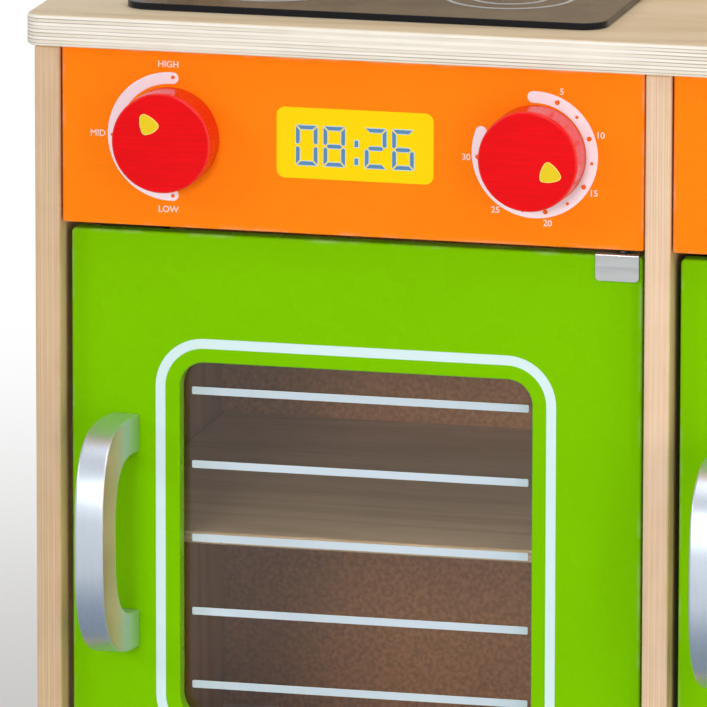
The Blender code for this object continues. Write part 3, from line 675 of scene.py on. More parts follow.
class Palette:
    """The finishes that pieces share."""

    GREEN = (tone(126, 196, 2), tone(116, 189, 0))
    ORANGE = (tone(255, 135, 24), tone(255, 125, 12))
    RED = Drawn("red_gloss", tone(232, 6, 16), tone(210, 2, 10), Axis.X, metallic=0.0,
                gloss=0.2, grain_size=900.0, coat=0.2, shine=tone(236, 60, 60))
    # The knobs' red, with a paler painted highlight in patches round the front rim.
    KNOB_RED = replace(RED, name="knob_red", rim_highlight=tone(255, 112, 104))
    BLUE = Drawn("blue_gloss", tone(32, 104, 190), tone(22, 84, 165), Axis.X, metallic=0.0,
                 gloss=0.2, share=0.5, grain_size=1100.0, coat=0.05, shine=tone(80, 130, 200))
    BLACK = Lacquer("black_gloss", tone(38, 38, 41), tone(28, 28, 30), gloss=0.2)
    WHITE_INK = ink("white_ink", tone(218, 240, 242), tone(204, 230, 236))
    BAR_INK = ink("pale_bar_ink", tone(206, 220, 232), tone(194, 210, 224))
    ROSE_INK = ink("rose_white_ink", tone(243, 231, 238), tone(238, 222, 231))
    THIN_INK = ink("thin_white_ink", tone(252, 221, 208), tone(248, 212, 198))
    YELLOW_INK = ink("yellow_ink", tone(253, 214, 20), tone(249, 205, 12))
    MUSTARD_INK = ink("mustard_ink", tone(232, 204, 44), tone(220, 190, 34))
    PALE_YELLOW_INK = ink("pale_yellow_ink", tone(247, 228, 128), tone(240, 216, 104))
    BLUE_INK = ink("blue_ink", tone(98, 140, 178), tone(86, 128, 168))
    PALE_BLUE_INK = ink("pale_blue_ink", tone(196, 222, 226), tone(182, 212, 220))
    ORANGE_INK = ink("orange_ink", tone(240, 108, 30), tone(232, 98, 22))
    SILVER_INK = ink("silver_ink", tone(186, 190, 196), tone(168, 172, 178), gloss=0.3)
    SILVER = Drawn("satin_silver", tone(208, 218, 230), tone(190, 200, 214), Axis.Z,
                   metallic=0.6, gloss=0.4, share=0.4)
    NICKEL = Drawn("bright_nickel", tone(212, 213, 213), tone(172, 173, 175), Axis.X, gloss=0.24,
                   share=0.8, grain_size=260.0)
    ZINC = Drawn("zinc_plate", tone(196, 198, 202), tone(150, 154, 162), Axis.Z, gloss=0.30)
    DARK_STEEL = Drawn("oiled_steel", tone(92, 90, 88), tone(60, 58, 58), Axis.Z, gloss=0.35)
    STEEL = Drawn("brushed_bowl", tone(206, 208, 210), tone(176, 178, 182), Axis.X, gloss=0.24)
    NYLON = Lacquer("white_nylon", tone(234, 232, 224), tone(222, 219, 208), 0.42, 0.0, 1500.0,
                    0.00004)
    BROWN_NYLON = Lacquer("brown_nylon", tone(74, 60, 48), tone(64, 50, 40), 0.45, 0.0, 1500.0,
                          0.00004)
    HARDBOARD = Lacquer("hardboard", tone(244, 182, 128), tone(118, 82, 54), 0.55, 0.0, 430.0,
                        0.00008, mottle=0.4)
    BEECH = Drawn("bare_beech", tone(222, 178, 132), tone(190, 140, 94), Axis.X, metallic=0.0,
                  gloss=0.5, share=0.9, grain_size=900.0, relief=0.00006)
    PANE = ClearSheet("clear_sheet")


def box_of(node: str) -> tuple[Vector, Vector]:
    """Lowest and highest corner of a frame node, as vectors."""
    low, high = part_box(node)
    return Vector(low), Vector(high)


def middle_of(node: str) -> Vector:
    """Middle of a frame node's box."""
    low, high = box_of(node)
    return (low + high) / 2


def foot_of(node: str) -> Vector:
    """Middle of the underside of a frame node's box."""
    middle = middle_of(node)
    return Vector((middle.x, middle.y, box_of(node)[0].z))


def every_edge(_first: Vector, _second: Vector) -> bool:
    """Pass all edges."""
    return True


def runs_along(axis: Axis) -> EdgeTest:
    """Make a test that passes the edges running along an axis.

    Args:
        axis: The axis.

    Returns:
        The test, which is given an edge's two ends.
    """
    def test(first: Vector, second: Vector) -> bool:
        """Compare the edge's direction with the axis."""
        return abs((second - first).normalized().dot(axis.vector())) > 0.99
    return test


def arc_points(middle: Point, radius: float, start: float, end: float, steps: int) -> Outline:
    """Points of an arc.

    Args:
        middle: The arc's centre.
        radius: Its radius.
        start: The angle it starts at, in degrees clockwise from straight up.
        end: The angle it ends at.
        steps: How many straight steps it has.

    Returns:
        The points, both ends included.
    """
    points = []
    for step in range(steps + 1):
        angle = math.radians(start + (end - start) * step / steps)
        points.append((middle[0] + radius * math.sin(angle), middle[1] + radius * math.cos(angle)))
    return points


def circle(radius: float, steps: int) -> Outline:
    """Points of a circle about the origin."""
    return arc_points((0, 0), radius, 0, 360, steps)[:-1]


def on_circle(radius: float, angle: float) -> Point:
    """Point of a circle about the origin, at an angle in degrees clockwise from straight up."""
    return arc_points((0, 0), radius, angle, angle, 1)[0]


def rounded_rectangle(width: float, height: float, radius: float, steps: int = 8) -> Outline:
    """Points of a rectangle about the origin with round corners.

    Args:
        width: Its width.
        height: Its height.
        radius: The radius of its corners.
        steps: How many straight steps each corner has.

    Returns:
        The points, clockwise from the top left.
    """
    points = []
    for side, end, start in ((-1, 1, 270), (1, 1, 0), (1, -1, 90), (-1, -1, 180)):
        middle = (side * (width / 2 - radius), end * (height / 2 - radius))
        points += arc_points(middle, radius, start, start + 90, steps)
    return points


def band(radius: float, width: float, start: float, end: float) -> Outline:
    """Outline of an arc-shaped stripe about the origin with round ends.

    Args:
        radius: Radius of the stripe's middle line.
        width: Its width.
        start: The angle it starts at, in degrees clockwise from straight up.
        end: The angle it ends at.

    Returns:
        The points round it.
    """
    steps = max(4, round(abs(end - start) / 6))
    half = width / 2
    outer = arc_points((0, 0), radius + half, start, end, steps)
    inner = arc_points((0, 0), radius - half, end, start, steps)
    end_cap = arc_points(on_circle(radius, end), half, end, end + 180, 8)[1:-1]
    start_cap = arc_points(on_circle(radius, start), half, start + 180, start + 360, 8)[1:-1]
    return outer + end_cap + inner + start_cap


def rounded_polygon(tips: Sequence[Point], radius: float, bulge: float = 0.0,
                    steps: int = 6) -> Outline:
    """Outline of a convex polygon whose corners are rounded and whose sides may bow outwards.

    Args:
        tips: The points that its rounded corners reach, in order.
        radius: The radius of the rounding.
        bulge: How far the middle of each side bows out.
        steps: How many straight steps each corner has.

    Returns:
        The points round it.
    """
    corners = []
    for index, tip in enumerate(tips):
        here = Vector(tip)
        before = (Vector(tips[index - 1]) - here).normalized()
        after = (Vector(tips[(index + 1) % len(tips)]) - here).normalized()
        inward = (before + after).normalized()
        half = math.pi / 2 - before.angle(after) / 2
        middle = here + inward * radius
        outward = math.atan2(-inward.x, -inward.y)
        corners.append(arc_points(tuple(middle), radius, math.degrees(outward - half),
                                  math.degrees(outward + half), steps))
    points = []
    for corner, following in zip(corners, corners[1:] + corners[:1]):
        points += corner
        start = Vector(corner[-1])
        side = Vector(following[0]) - start
        outward = Vector((-side.y, side.x)).normalized() * bulge
        points += [tuple(start + side * share + outward * 4 * share * (1 - share))
                   for share in (0.25, 0.5, 0.75)]
    return points


class Bench:
    """The workbench: modelling steps that every sub-assembly takes on one object at a time."""

    @staticmethod
    def take(piece: Piece) -> None:
        """Deselect everything else and make a piece the active one.

        Args:
            piece: The piece.
        """
        for item in bpy.context.view_layer.objects:
            item.select_set(False)
        piece.select_set(True)
        bpy.context.view_layer.objects.active = piece

    @staticmethod
    @contextmanager
    def editing(piece: Piece, mode: str = "EDGE") -> Iterator[None]:
        """Edit a piece's mesh with nothing selected.

        Args:
            piece: The piece.
            mode: VERT, EDGE or FACE.

        Yields:
            Nothing; edit mode lasts as long as the block.
        """
        Bench.take(piece)
        bpy.ops.object.mode_set(mode="EDIT")
        bpy.ops.mesh.select_mode(type=mode)
        bpy.ops.mesh.select_all(action="DESELECT")
        yield
        bpy.ops.object.mode_set(mode="OBJECT")

    @staticmethod
    def fresh(name: str) -> Piece:
        """Name the object that was just added and put its place into its mesh.

        Args:
            name: The piece's name.

        Returns:
            The new piece.
        """
        piece = bpy.context.object
        piece.name = name
        piece.data.name = name
        return Bench.put(piece, piece.matrix_basis)

    @staticmethod
    def put(piece: Piece, place: Matrix) -> Piece:
        """Place a piece by a matrix and put that into its mesh.

        Args:
            piece: The piece.
            place: Where it goes and how it is turned.

        Returns:
            The same piece.
        """
        piece.matrix_basis = place
        Bench.take(piece)
        bpy.ops.object.transform_apply(location=True, rotation=True, scale=True)
        return piece

    @staticmethod
    def modify(piece: Piece, name: str, kind: str, **settings: object) -> None:
        """Put a modifier on a piece and apply it.

        Args:
            piece: The piece.
            name: The modifier's name.
            kind: Blender's name of its type.
            **settings: Its settings.
        """
        Bench.take(piece)
        modifier = piece.modifiers.new(name, kind)
        for setting, value in settings.items():
            setattr(modifier, setting, value)
        bpy.ops.object.modifier_apply(modifier=modifier.name)

    @staticmethod
    def set_points(piece: Piece, points: Sequence[Corner]) -> None:
        """Move the vertices to points, in their order, in edit mode.

        Args:
            piece: The piece that is being edited.
            points: The points.
        """
        mesh = bmesh.from_edit_mesh(piece.data)
        mesh.verts.ensure_lookup_table()
        for vertex, point in zip(mesh.verts, points):
            vertex.co = point
        bmesh.update_edit_mesh(piece.data)

    @staticmethod
    def extrude(height: float) -> None:
        """Extrude what is selected along Z, in edit mode."""
        bpy.ops.mesh.extrude_region_move(TRANSFORM_OT_translate={"value": (0, 0, height)})

    @staticmethod
    def face_outwards() -> None:
        """Turn all faces outwards, in edit mode."""
        bpy.ops.mesh.select_all(action="SELECT")
        bpy.ops.mesh.normals_make_consistent(inside=False)

    @staticmethod
    def pick_sharp_edges(piece: Piece, test: EdgeTest, angle: float) -> None:
        """Select the edges that turn sharply and pass a test, in edit mode.

        Args:
            piece: The piece that is being edited.
            test: Says of an edge's two ends whether the edge is wanted.
            angle: The smallest angle between the edge's two faces, in degrees.
        """
        mesh = bmesh.from_edit_mesh(piece.data)
        for edge in mesh.edges:
            sharp = edge.calc_face_angle(0.0) > math.radians(angle)
            if sharp and test(edge.verts[0].co, edge.verts[1].co):
                edge.select_set(True)
        bmesh.update_edit_mesh(piece.data)

    @staticmethod
    def pick_faces(piece: Piece, test: FaceTest) -> None:
        """Select the faces whose middle and normal pass a test, in edit mode.

        Args:
            piece: The piece that is being edited.
            test: Says of a face's middle and normal whether the face is wanted.
        """
        mesh = bmesh.from_edit_mesh(piece.data)
        for face in mesh.faces:
            if test(face.calc_center_median(), face.normal):
                face.select_set(True)
        bmesh.update_edit_mesh(piece.data)

    @staticmethod
    def round_edges(piece: Piece, test: EdgeTest, radius: float,
                    segments: int = 3, angle: float = 30.0) -> None:
        """Round the sharp edges that pass a test.

        Args:
            piece: The piece.
            test: Says of an edge's two ends whether the edge is wanted.
            radius: The radius of the rounding.
            segments: How many faces go round it.
            angle: The smallest angle between an edge's two faces, in degrees.
        """
        with Bench.editing(piece):
            Bench.pick_sharp_edges(piece, test, angle)
            bpy.ops.mesh.bevel(offset=radius, segments=segments, profile=0.5, affect="EDGES",
                               clamp_overlap=True)

    @staticmethod
    def smooth(piece: Piece, angle: float = 32.0) -> None:
        """Shade a piece smooth except across edges sharper than an angle in degrees.

        Args:
            piece: The piece, whose large faces keep their own flat normals.
            angle: The angle.
        """
        Bench.take(piece)
        bpy.ops.object.shade_smooth_by_angle(angle=math.radians(angle))
        Bench.modify(piece, "flat_faces", "WEIGHTED_NORMAL", keep_sharp=True)

    @staticmethod
    def block(name: str, low: Vector, high: Vector) -> Piece:
        """Add a block between two corners, ready to be shaped.

        Args:
            name: The piece's name.
            low: Its lowest corner.
            high: Its highest corner.

        Returns:
            The new piece.
        """
        bpy.ops.mesh.primitive_cube_add(size=1, location=(low + high) / 2)
        bpy.context.object.scale = high - low
        return Bench.fresh(name)

    @staticmethod
    def board(name: str, low: Vector, high: Vector, thin: Axis, corner: float,
              arris: float) -> Piece:
        """Model a board with round corners and softly rounded edges.

        Args:
            name: The piece's name.
            low: Its lowest corner.
            high: Its highest corner.
            thin: The axis that it is thin along.
            corner: The radius of its four corners, or zero.
            arris: The radius of all its edges.

        Returns:
            The new piece.
        """
        piece = Bench.block(name, low, high)
        if corner:
            Bench.round_edges(piece, runs_along(thin), corner, 8)
        Bench.round_edges(piece, every_edge, arris)
        Bench.smooth(piece)
        return piece

    @staticmethod
    def cut(piece: Piece, tool: Piece) -> None:
        """Cut a tool out of a piece and throw the tool away."""
        Bench.modify(piece, "cut", "BOOLEAN", operation="DIFFERENCE", solver="EXACT", object=tool)
        bpy.data.objects.remove(tool)

    @staticmethod
    def join(name: str, pieces: Sequence[Piece]) -> Piece:
        """Join pieces into the first of them.

        Args:
            name: The name that it is given.
            pieces: The pieces.

        Returns:
            The first piece, which now holds them all.
        """
        Bench.take(pieces[0])
        for piece in pieces[1:]:
            piece.select_set(True)
        bpy.ops.object.join()
        pieces[0].name = name
        return pieces[0]

    @staticmethod
    def sheet(name: str, outline: Outline, thickness: float) -> Piece:
        """Model a flat sheet over an outline in the XY plane, rising from Z = 0.

        Args:
            name: The piece's name.
            outline: The points round it.
            thickness: How thick it is.

        Returns:
            The new piece.
        """
        bpy.ops.mesh.primitive_circle_add(vertices=len(outline), radius=1, fill_type="NGON")
        piece = Bench.fresh(name)
        with Bench.editing(piece, "FACE"):
            Bench.set_points(piece, [(across, up, 0) for across, up in outline])
            bpy.ops.mesh.select_all(action="SELECT")
            Bench.extrude(thickness)
            Bench.face_outwards()
        return piece

    @staticmethod
    def stand(piece: Piece, place: Vector, facing: Facing) -> Piece:
        """Stand a flat XY drawing up on one side of the object, with its origin at a place."""
        return Bench.put(piece, Matrix.Translation(place) @ facing.turn())

    @staticmethod
    def print_on(name: str, outline: Outline, place: Vector, facing: Facing = Facing.FRONT,
                 thickness: float = INK) -> Piece:
        """Print an outline about a place on the object, as a thin raised sheet."""
        return Bench.stand(Bench.sheet(name, outline, thickness), place, facing)

    @staticmethod
    def ring_on(name: str, outer: Outline, inner: Outline, place: Vector,
                facing: Facing = Facing.FRONT) -> Piece:
        """Print a closed stripe between two outlines that have as many points each.

        Args:
            name: The piece's name.
            outer: The points round its outside.
            inner: The points round its inside.
            place: The place on the surface that the outlines are drawn about.
            facing: The side that it faces.

        Returns:
            The new piece.
        """
        bpy.ops.mesh.primitive_circle_add(vertices=len(outer), radius=2)
        piece = Bench.fresh(name)
        with Bench.editing(piece):
            bpy.ops.mesh.primitive_circle_add(vertices=len(inner), radius=1)
            Bench.set_points(piece, [(across, up, 0) for across, up in outer + inner])
            bpy.ops.mesh.select_all(action="SELECT")
            bpy.ops.mesh.bridge_edge_loops()
            bpy.ops.mesh.select_all(action="SELECT")
            Bench.extrude(INK)
            Bench.face_outwards()
        return Bench.stand(piece, place, facing)

    @staticmethod
    def lettering(name: str, text: str, height: float, place: Vector,
                  facing: Facing = Facing.FRONT) -> Piece:
        """Print a short text, centred on a place.

        Args:
            name: The piece's name.
            text: The letters.
            height: The font size.
            place: The place on the surface.
            facing: The side that it faces.

        Returns:
            The new piece.
        """
        bpy.ops.object.text_add()
        writing = bpy.context.object
        writing.data.body = text
        writing.data.size = height
        writing.data.align_x = "CENTER"
        writing.data.align_y = "CENTER"
        swell = height * 0.022
        writing.data.bevel_depth = swell
        Bench.take(writing)
        bpy.ops.object.convert(target="MESH")
        piece = Bench.fresh(name)
        return Bench.stand(piece, place + facing.turn() @ Vector((0, 0, swell)), facing)

    @staticmethod
    def turned(name: str, profile: Sequence[Point], place: Vector, steps: int = 64,
               axis: Vector = UP) -> Piece:
        """Turn a closed (radius, height) outline once round an axis, as on a lathe.

        Args:
            name: The piece's name.
            profile: The points round the cross-section.
            place: Where its origin goes.
            steps: How many faces go round it.
            axis: The direction that its height points in.

        Returns:
            The new piece.
        """
        bpy.ops.mesh.primitive_circle_add(vertices=len(profile), radius=1)
        piece = Bench.fresh(name)
        with Bench.editing(piece, "VERT"):
            Bench.set_points(piece, [(radius, 0, height) for radius, height in profile])
            bpy.ops.mesh.select_all(action="SELECT")
            bpy.ops.mesh.spin(steps=steps, angle=math.tau, center=(0, 0, 0), axis=(0, 0, 1))
            bpy.ops.mesh.select_all(action="SELECT")
            bpy.ops.mesh.remove_doubles(threshold=0.000005)
            bpy.ops.mesh.delete_loose()
            bpy.ops.mesh.dissolve_degenerate(threshold=0.000002)
            Bench.face_outwards()
        turn = UP.rotation_difference(axis).to_matrix().to_4x4()
        Bench.put(piece, Matrix.Translation(place) @ turn)
        Bench.smooth(piece)
        return piece


def settle(piece: Piece, finish: Finish, body: Body,
           replaces: Sequence[str] = ()) -> None:
    """Finish a new piece and seat it on its body.

    Args:
        piece: The piece.
        finish: Its finish.
        body: The body that it rides on.
        replaces: The frame nodes that it stands for.
    """
    piece.data.materials.clear()
    piece.data.materials.append(finish.material())
    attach(piece, body.value)
    if replaces:
        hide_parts(*replaces)
    LOG.info("%s rides on %s", piece.name, body.value)


def dress(nodes: dict[str, Piece], name: str, finish: Finish) -> None:
    """Give a frame node that stays a better finish.

    Args:
        nodes: The frame's nodes.
        name: The node.
        finish: Its finish.
    """
    for material_slot in nodes[name].material_slots:
        material_slot.material = finish.material()
    LOG.info("%s is dressed in %s", name, finish.name)


def plywood(name: str, grain: Axis, **changes: object) -> Plywood:
    """Plywood finish that fits a frame node, with its veneer along the grain."""
    low, high = box_of(name)
    return Plywood("plywood_" + name, tuple(low), tuple(high), grain, **changes)


@dataclass
class Carcass:
    """The plywood case: panels, boards, shelf, back and the small fittings inside."""

    nodes: dict[str, Piece]
    cap_radius: float = 0.0055
    cap_height: float = 0.0009
    cap_from_edge: float = 0.035
    pin_radius: float = 0.0016
    pin_pitch: float = 0.0855
    dimple_radius: float = 0.0021
    dimple_depth: float = 0.0004
    back_arris: float = 0.0004

    def build(self) -> None:
        """Dress the boards and add the screw caps and the back's pins."""
        self.dress_boards()
        self.dress_fittings()
        self.add_screw_caps("left")
        self.add_screw_caps("right")
        self.add_back()

    def dress_boards(self) -> None:
        """Plywood on every board, with the grain along its length."""
        for name in ("side_panel_left", "side_panel_right", "divider_panel"):
            edge_pale, edge_deep = tone(231, 202, 172), tone(208, 172, 138)
            # Painted shade: the left panel's front edge gets darker plywood colours than the
            # others.
            if name == "side_panel_left":
                edge_pale, edge_deep = tone(215, 186, 151), tone(192, 156, 118)
            # The upright panels' veneer is painted darker than the other boards' plywood, as
            # painted shade for their faces inside the case.
            dress(self.nodes, name, plywood(name, Axis.Z, pale=tone(226, 198, 156),
                                            deep=tone(196, 160, 114), edge_pale=edge_pale,
                                            edge_deep=edge_deep, contrast=0.14, lines=0.3))
        for bay in ("oven", "cupboard"):
            for board in ("base_board", "top_board", "plinth"):
                name = bay + "_" + board
                dress(self.nodes, name, plywood(name, Axis.X))
        dress(self.nodes, "oven_shelf", plywood("oven_shelf", Axis.X, pale=tone(230, 212, 184),
                                                deep=tone(200, 177, 144)))

    def dress_fittings(self) -> None:
        """Zinc, brown nylon and beech on the small fittings."""
        for name in self.nodes:
            if "screw" in name or "bolt" in name or "strike" in name:
                dress(self.nodes, name, Palette.ZINC)
            elif "catch" in name or "bush" in name:
                dress(self.nodes, name, Palette.BROWN_NYLON)
            elif "peg" in name:
                dress(self.nodes, name, Palette.BEECH)

    def add_screw_caps(self, hand: str) -> None:
        """Turned caps over the screws that join a side panel to the boards between.

        Args:
            hand: Left or right.
        """
        node = "side_panel_" + hand
        low, high = box_of(node)
        outward = -1 if hand == "left" else 1
        face = low.x if hand == "left" else high.x
        levels = [middle_of(board).z for board in ("oven_base_board", "oven_top_board")]
        levels.append(box_of("worktop")[0].z - self.cap_from_edge / 2)
        rise = self.cap_height
        profile = [(0, 0), (self.cap_radius, 0), (self.cap_radius, rise * 0.5),
                   (self.cap_radius * 0.8, rise * 0.9), (0, rise)]
        caps = []
        for level in levels:
            for y in (low.y + self.cap_from_edge, high.y - self.cap_from_edge):
                caps.append(Bench.turned("cap", profile, Vector((face, y, level)), 20,
                                         Vector((outward, 0, 0))))
        settle(Bench.join("screw_caps_" + hand, caps), Palette.NYLON, Body.CARCASS)

    def add_back(self) -> None:
        """Thin back with panel pins along its edges, each hammered into a small dimple."""
        low, high = box_of("back_panel")
        inset = (box_of("side_panel_left")[1].x - box_of("side_panel_left")[0].x) / 2
        back = Bench.board("back_panel_sheet", low, high, Axis.Y, 0.0, self.back_arris)
        height = high.z - low.z - 2 * inset
        count = int(height / self.pin_pitch)
        places = [Vector((x, high.y, low.z + inset + height * step / count))
                  for x in (low.x + inset, 0.0, high.x - inset) for step in range(count + 1)]
        dimples = []
        for place in places:
            bpy.ops.mesh.primitive_cylinder_add(
                vertices=20, radius=self.dimple_radius, depth=2 * self.dimple_depth,
                location=place, rotation=(math.pi / 2, 0, 0))
            dimples.append(Bench.fresh("dimple"))
        Bench.cut(back, Bench.join("dimples", dimples))
        settle(back, Palette.HARDBOARD, Body.CARCASS, ["back_panel"])
        rise = self.dimple_depth * 0.6
        profile = [(0, 0), (self.pin_radius, 0), (self.pin_radius * 0.8, rise * 0.8), (0, rise)]
        seat = Vector((0, -self.dimple_depth, 0))
        pins = [Bench.turned("pin", profile, place + seat, 12, Vector((0, 1, 0)))
                for place in places]
        settle(Bench.join("back_pins", pins), Palette.ZINC, Body.CARCASS)


@dataclass
class ControlPanel:
    """The painted fascia over the oven with its display and the scales round its knobs."""

    board_corner: float = 0.0012
    board_arris: float = 0.0008
    heat_scale_radius: float = 0.02775
    timer_scale_radius: float = 0.0272
    scale_width: float = 0.0055
    dot_radius: float = 0.0009
    tick_radius: float = 0.0006
    label_size: float = 0.0042
    label_ring: float = 0.0327
    display_width: float = 0.075
    display_height: float = 0.0335
    display_corner: float = 0.004
    display_right_of_middle: float = 0.0012
    display_above_middle: float = 0.0001
    digits_below_middle: float = 0.001
    digit_height: float = 0.0187
    digit_width: float = 0.0102
    digit_places: tuple[float, ...] = (-0.02305, -0.00985, 0.00993, 0.02297)
    colon_place: float = 0.0007
    colon_levels: tuple[float, float] = (0.0018, -0.0066)
    colon_width: float = 0.0017
    colon_height: float = 0.0030
    colon_corner: float = 0.0004
    segment_width: float = 0.0017
    segment_gap: float = 0.0006
    outline_width: float = 0.0004
    heat_dots_out: float = 0.0004
    timer_dot_share: float = 1.3

    def build(self) -> None:
        """Build the board, the display and both scales."""
        self.low, self.high = box_of("control_panel")
        self.face = self.low.y
        self.add_board("control_panel")
        self.add_board("sink_fascia")
        self.add_display()
        self.add_heat_scale()
        self.add_timer_scale()

    def on_face(self, x: float, z: float, layer: int = 0) -> Vector:
        """Place on the board's front; each further layer of ink lies on the one before."""
        return Vector((x, self.face - layer * INK, z))

    def add_board(self, node: str) -> None:
        """Painted board with softly rounded edges.

        Args:
            node: The frame node that it stands for.
        """
        low, high = box_of(node)
        piece = Bench.board(node + "_painted", low, high, Axis.Y, self.board_corner,
                            self.board_arris)
        colour, deep = Palette.ORANGE
        finish = Lacquer("orange_paint_" + node, colour, deep, low=tuple(low), high=tuple(high))
        settle(piece, finish, Body.CARCASS, [node])

    @staticmethod
    def knob_middle(node: str) -> Point:
        """Place across and up of a knob's axis."""
        middle = middle_of(node)
        return middle.x, middle.z

    def add_display(self) -> None:
        """Yellow display with four pale-edged blue digits and a colon."""
        left_x, knob_z = self.knob_middle("heat_knob")
        right_x, _ = self.knob_middle("timer_knob")
        middle = self.on_face((left_x + right_x) / 2 + self.display_right_of_middle,
                              knob_z + self.display_above_middle)
        frame = rounded_rectangle(self.display_width, self.display_height, self.display_corner)
        panel = Bench.print_on("display_panel", frame, middle)
        settle(panel, Palette.YELLOW_INK, Body.CARCASS)
        middle.z -= self.digits_below_middle
        for layer, grow, finish, name in ((1, self.outline_width, Palette.PALE_BLUE_INK, "edge"),
                                          (2, 0.0, Palette.BLUE_INK, "blue")):
            marks = []
            for digit, across in zip("0826", self.digit_places):
                place = middle + Vector((across, -layer * INK, 0))
                marks += self.digit(digit, place, grow)
            dot = rounded_rectangle(self.colon_width + 2 * grow, self.colon_height + 2 * grow,
                                    self.colon_corner, 3)
            for up in self.colon_levels:
                place = middle + Vector((self.colon_place, -layer * INK, up))
                marks.append(Bench.print_on("colon", dot, place))
            settle(Bench.join("display_digits_" + name, marks), finish, Body.CARCASS)

    def digit(self, digit: str, place: Vector, grow: float) -> list[Piece]:
        """Segments of one digit, cut to a mitre where they meet.

        Args:
            digit: Which digit it is.
            place: Its middle.
            grow: How much wider each segment is all round.

        Returns:
            The segments as separate pieces.
        """
        side = self.digit_width / 2 + grow
        rise = self.digit_height / 2 + grow
        thick = self.segment_width + 2 * grow
        gap = self.segment_gap - grow * 0.6
        level = [(-side + gap, rise), (side - gap, rise), (side - thick - gap, rise - thick),
                 (-side + thick + gap, rise - thick)]
        upright = [(-side, rise - gap), (-side + thick, rise - thick - gap),
                   (-side + thick, thick / 2 + gap), (-side + thick / 2, gap), (-side, gap * 2)]
        middle = [(-side + thick / 2 + gap, 0), (-side + thick + gap, thick / 2),
                  (side - thick - gap, thick / 2), (side - thick / 2 - gap, 0),
                  (side - thick - gap, -thick / 2), (-side + thick + gap, -thick / 2)]
        shapes = {"top": (level, 1, 1), "bottom": (level, 1, -1), "middle": (middle, 1, 1),
                  "upper left": (upright, 1, 1), "upper right": (upright, -1, 1),
                  "lower left": (upright, 1, -1), "lower right": (upright, -1, -1)}
        dark = {"0": {"middle"}, "8": set(), "2": {"upper left", "lower right"},
                "6": {"upper right"}}[digit]
        pieces = []
        for name in sorted(set(shapes) - dark):
            outline, flip, turn = shapes[name]
            moved = [(x * flip, y * turn) for x, y in outline]
            pieces.append(Bench.print_on("segment", moved, place))
        return pieces

    def add_scale(self, name: str, knob: str, radius: float, shift: float, start: float,
                  end: float) -> Vector:
        """White stripe round a knob.

        Args:
            name: The piece's name.
            knob: The knob's node.
            radius: The radius of the stripe's middle line.
            shift: How far right of the knob's axis it was printed.
            start: The angle the stripe starts at, in degrees clockwise from straight up.
            end: The angle it ends at.

        Returns:
            The middle of the stripe's circle on the board.
        """
        middle = self.on_face(*self.knob_middle(knob)) + Vector((shift, 0, 0))
        stripe = Bench.print_on(name, band(radius, self.scale_width, start, end), middle)
        settle(stripe, Palette.ROSE_INK, Body.CARCASS)
        return middle

    def add_dots(self, name: str, middle: Vector, angles: Sequence[float], radius: float,
                 ring: float) -> None:
        """Orange dots on a stripe.

        Args:
            name: The piece's name.
            middle: The middle of the stripe's circle.
            angles: Their angles, in degrees clockwise from straight up.
            radius: The radius of each dot.
            ring: The radius of the circle that they lie on.
        """
        dots = []
        for angle in angles:
            across, up = on_circle(ring, angle)
            place = middle + Vector((across, -INK, up))
            dots.append(Bench.print_on("dot", circle(radius, 14), place))
        settle(Bench.join(name, dots), Palette.ORANGE_INK, Body.CARCASS)

    def add_label(self, knob: str, text: str, middle: Vector, across: float, up: float) -> None:
        """White word or number beside a stripe.

        Args:
            knob: Heat or timer.
            text: The word or number.
            middle: The middle of the stripe's circle.
            across: How far right of it the text is centred.
            up: How far above it the text is centred.
        """
        name = knob + "_label_" + text.lower()
        piece = Bench.lettering(name, text, self.label_size, middle + Vector((across, 0, up)))
        settle(piece, Palette.THIN_INK, Body.CARCASS)

    def add_heat_scale(self) -> None:
        """Half ring on the left of the heat knob, with three marks and their words."""
        ring = self.heat_scale_radius
        middle = self.add_scale("heat_scale", "heat_knob", ring, 0.0003, -182, 2)
        self.add_dots("heat_scale_dots", middle, (2, -90.8, -181.8), self.dot_radius,
                      ring + self.heat_dots_out)
        for text, across, up in (("HIGH", -0.0012, 0.0341), ("MID", -0.0352, 0.0),
                                 ("LOW", -0.0013, -0.0347)):
            self.add_label("heat", text, middle, across, up)

    def add_timer_scale(self) -> None:
        """Long ring round the timer knob, with numbers, their dots and small ones between."""
        ring = self.timer_scale_radius
        middle = self.add_scale("timer_scale", "timer_knob", ring, -0.0006, -1.9, 290.5)
        numbers = {"5": 22.9, "10": 71.4, "15": 121.2, "20": 169.0, "25": 214.5, "30": 265.1}
        between = (46.9, 96.1, 145.0, 191.8, 239.8)
        self.add_dots("timer_scale_dots", middle, list(numbers.values()),
                      self.dot_radius * self.timer_dot_share, ring)
        self.add_dots("timer_scale_ticks", middle, between,
                      self.tick_radius * self.timer_dot_share, ring)
        for text, angle in numbers.items():
            self.add_label("timer", text, middle, *on_circle(self.label_ring, angle))


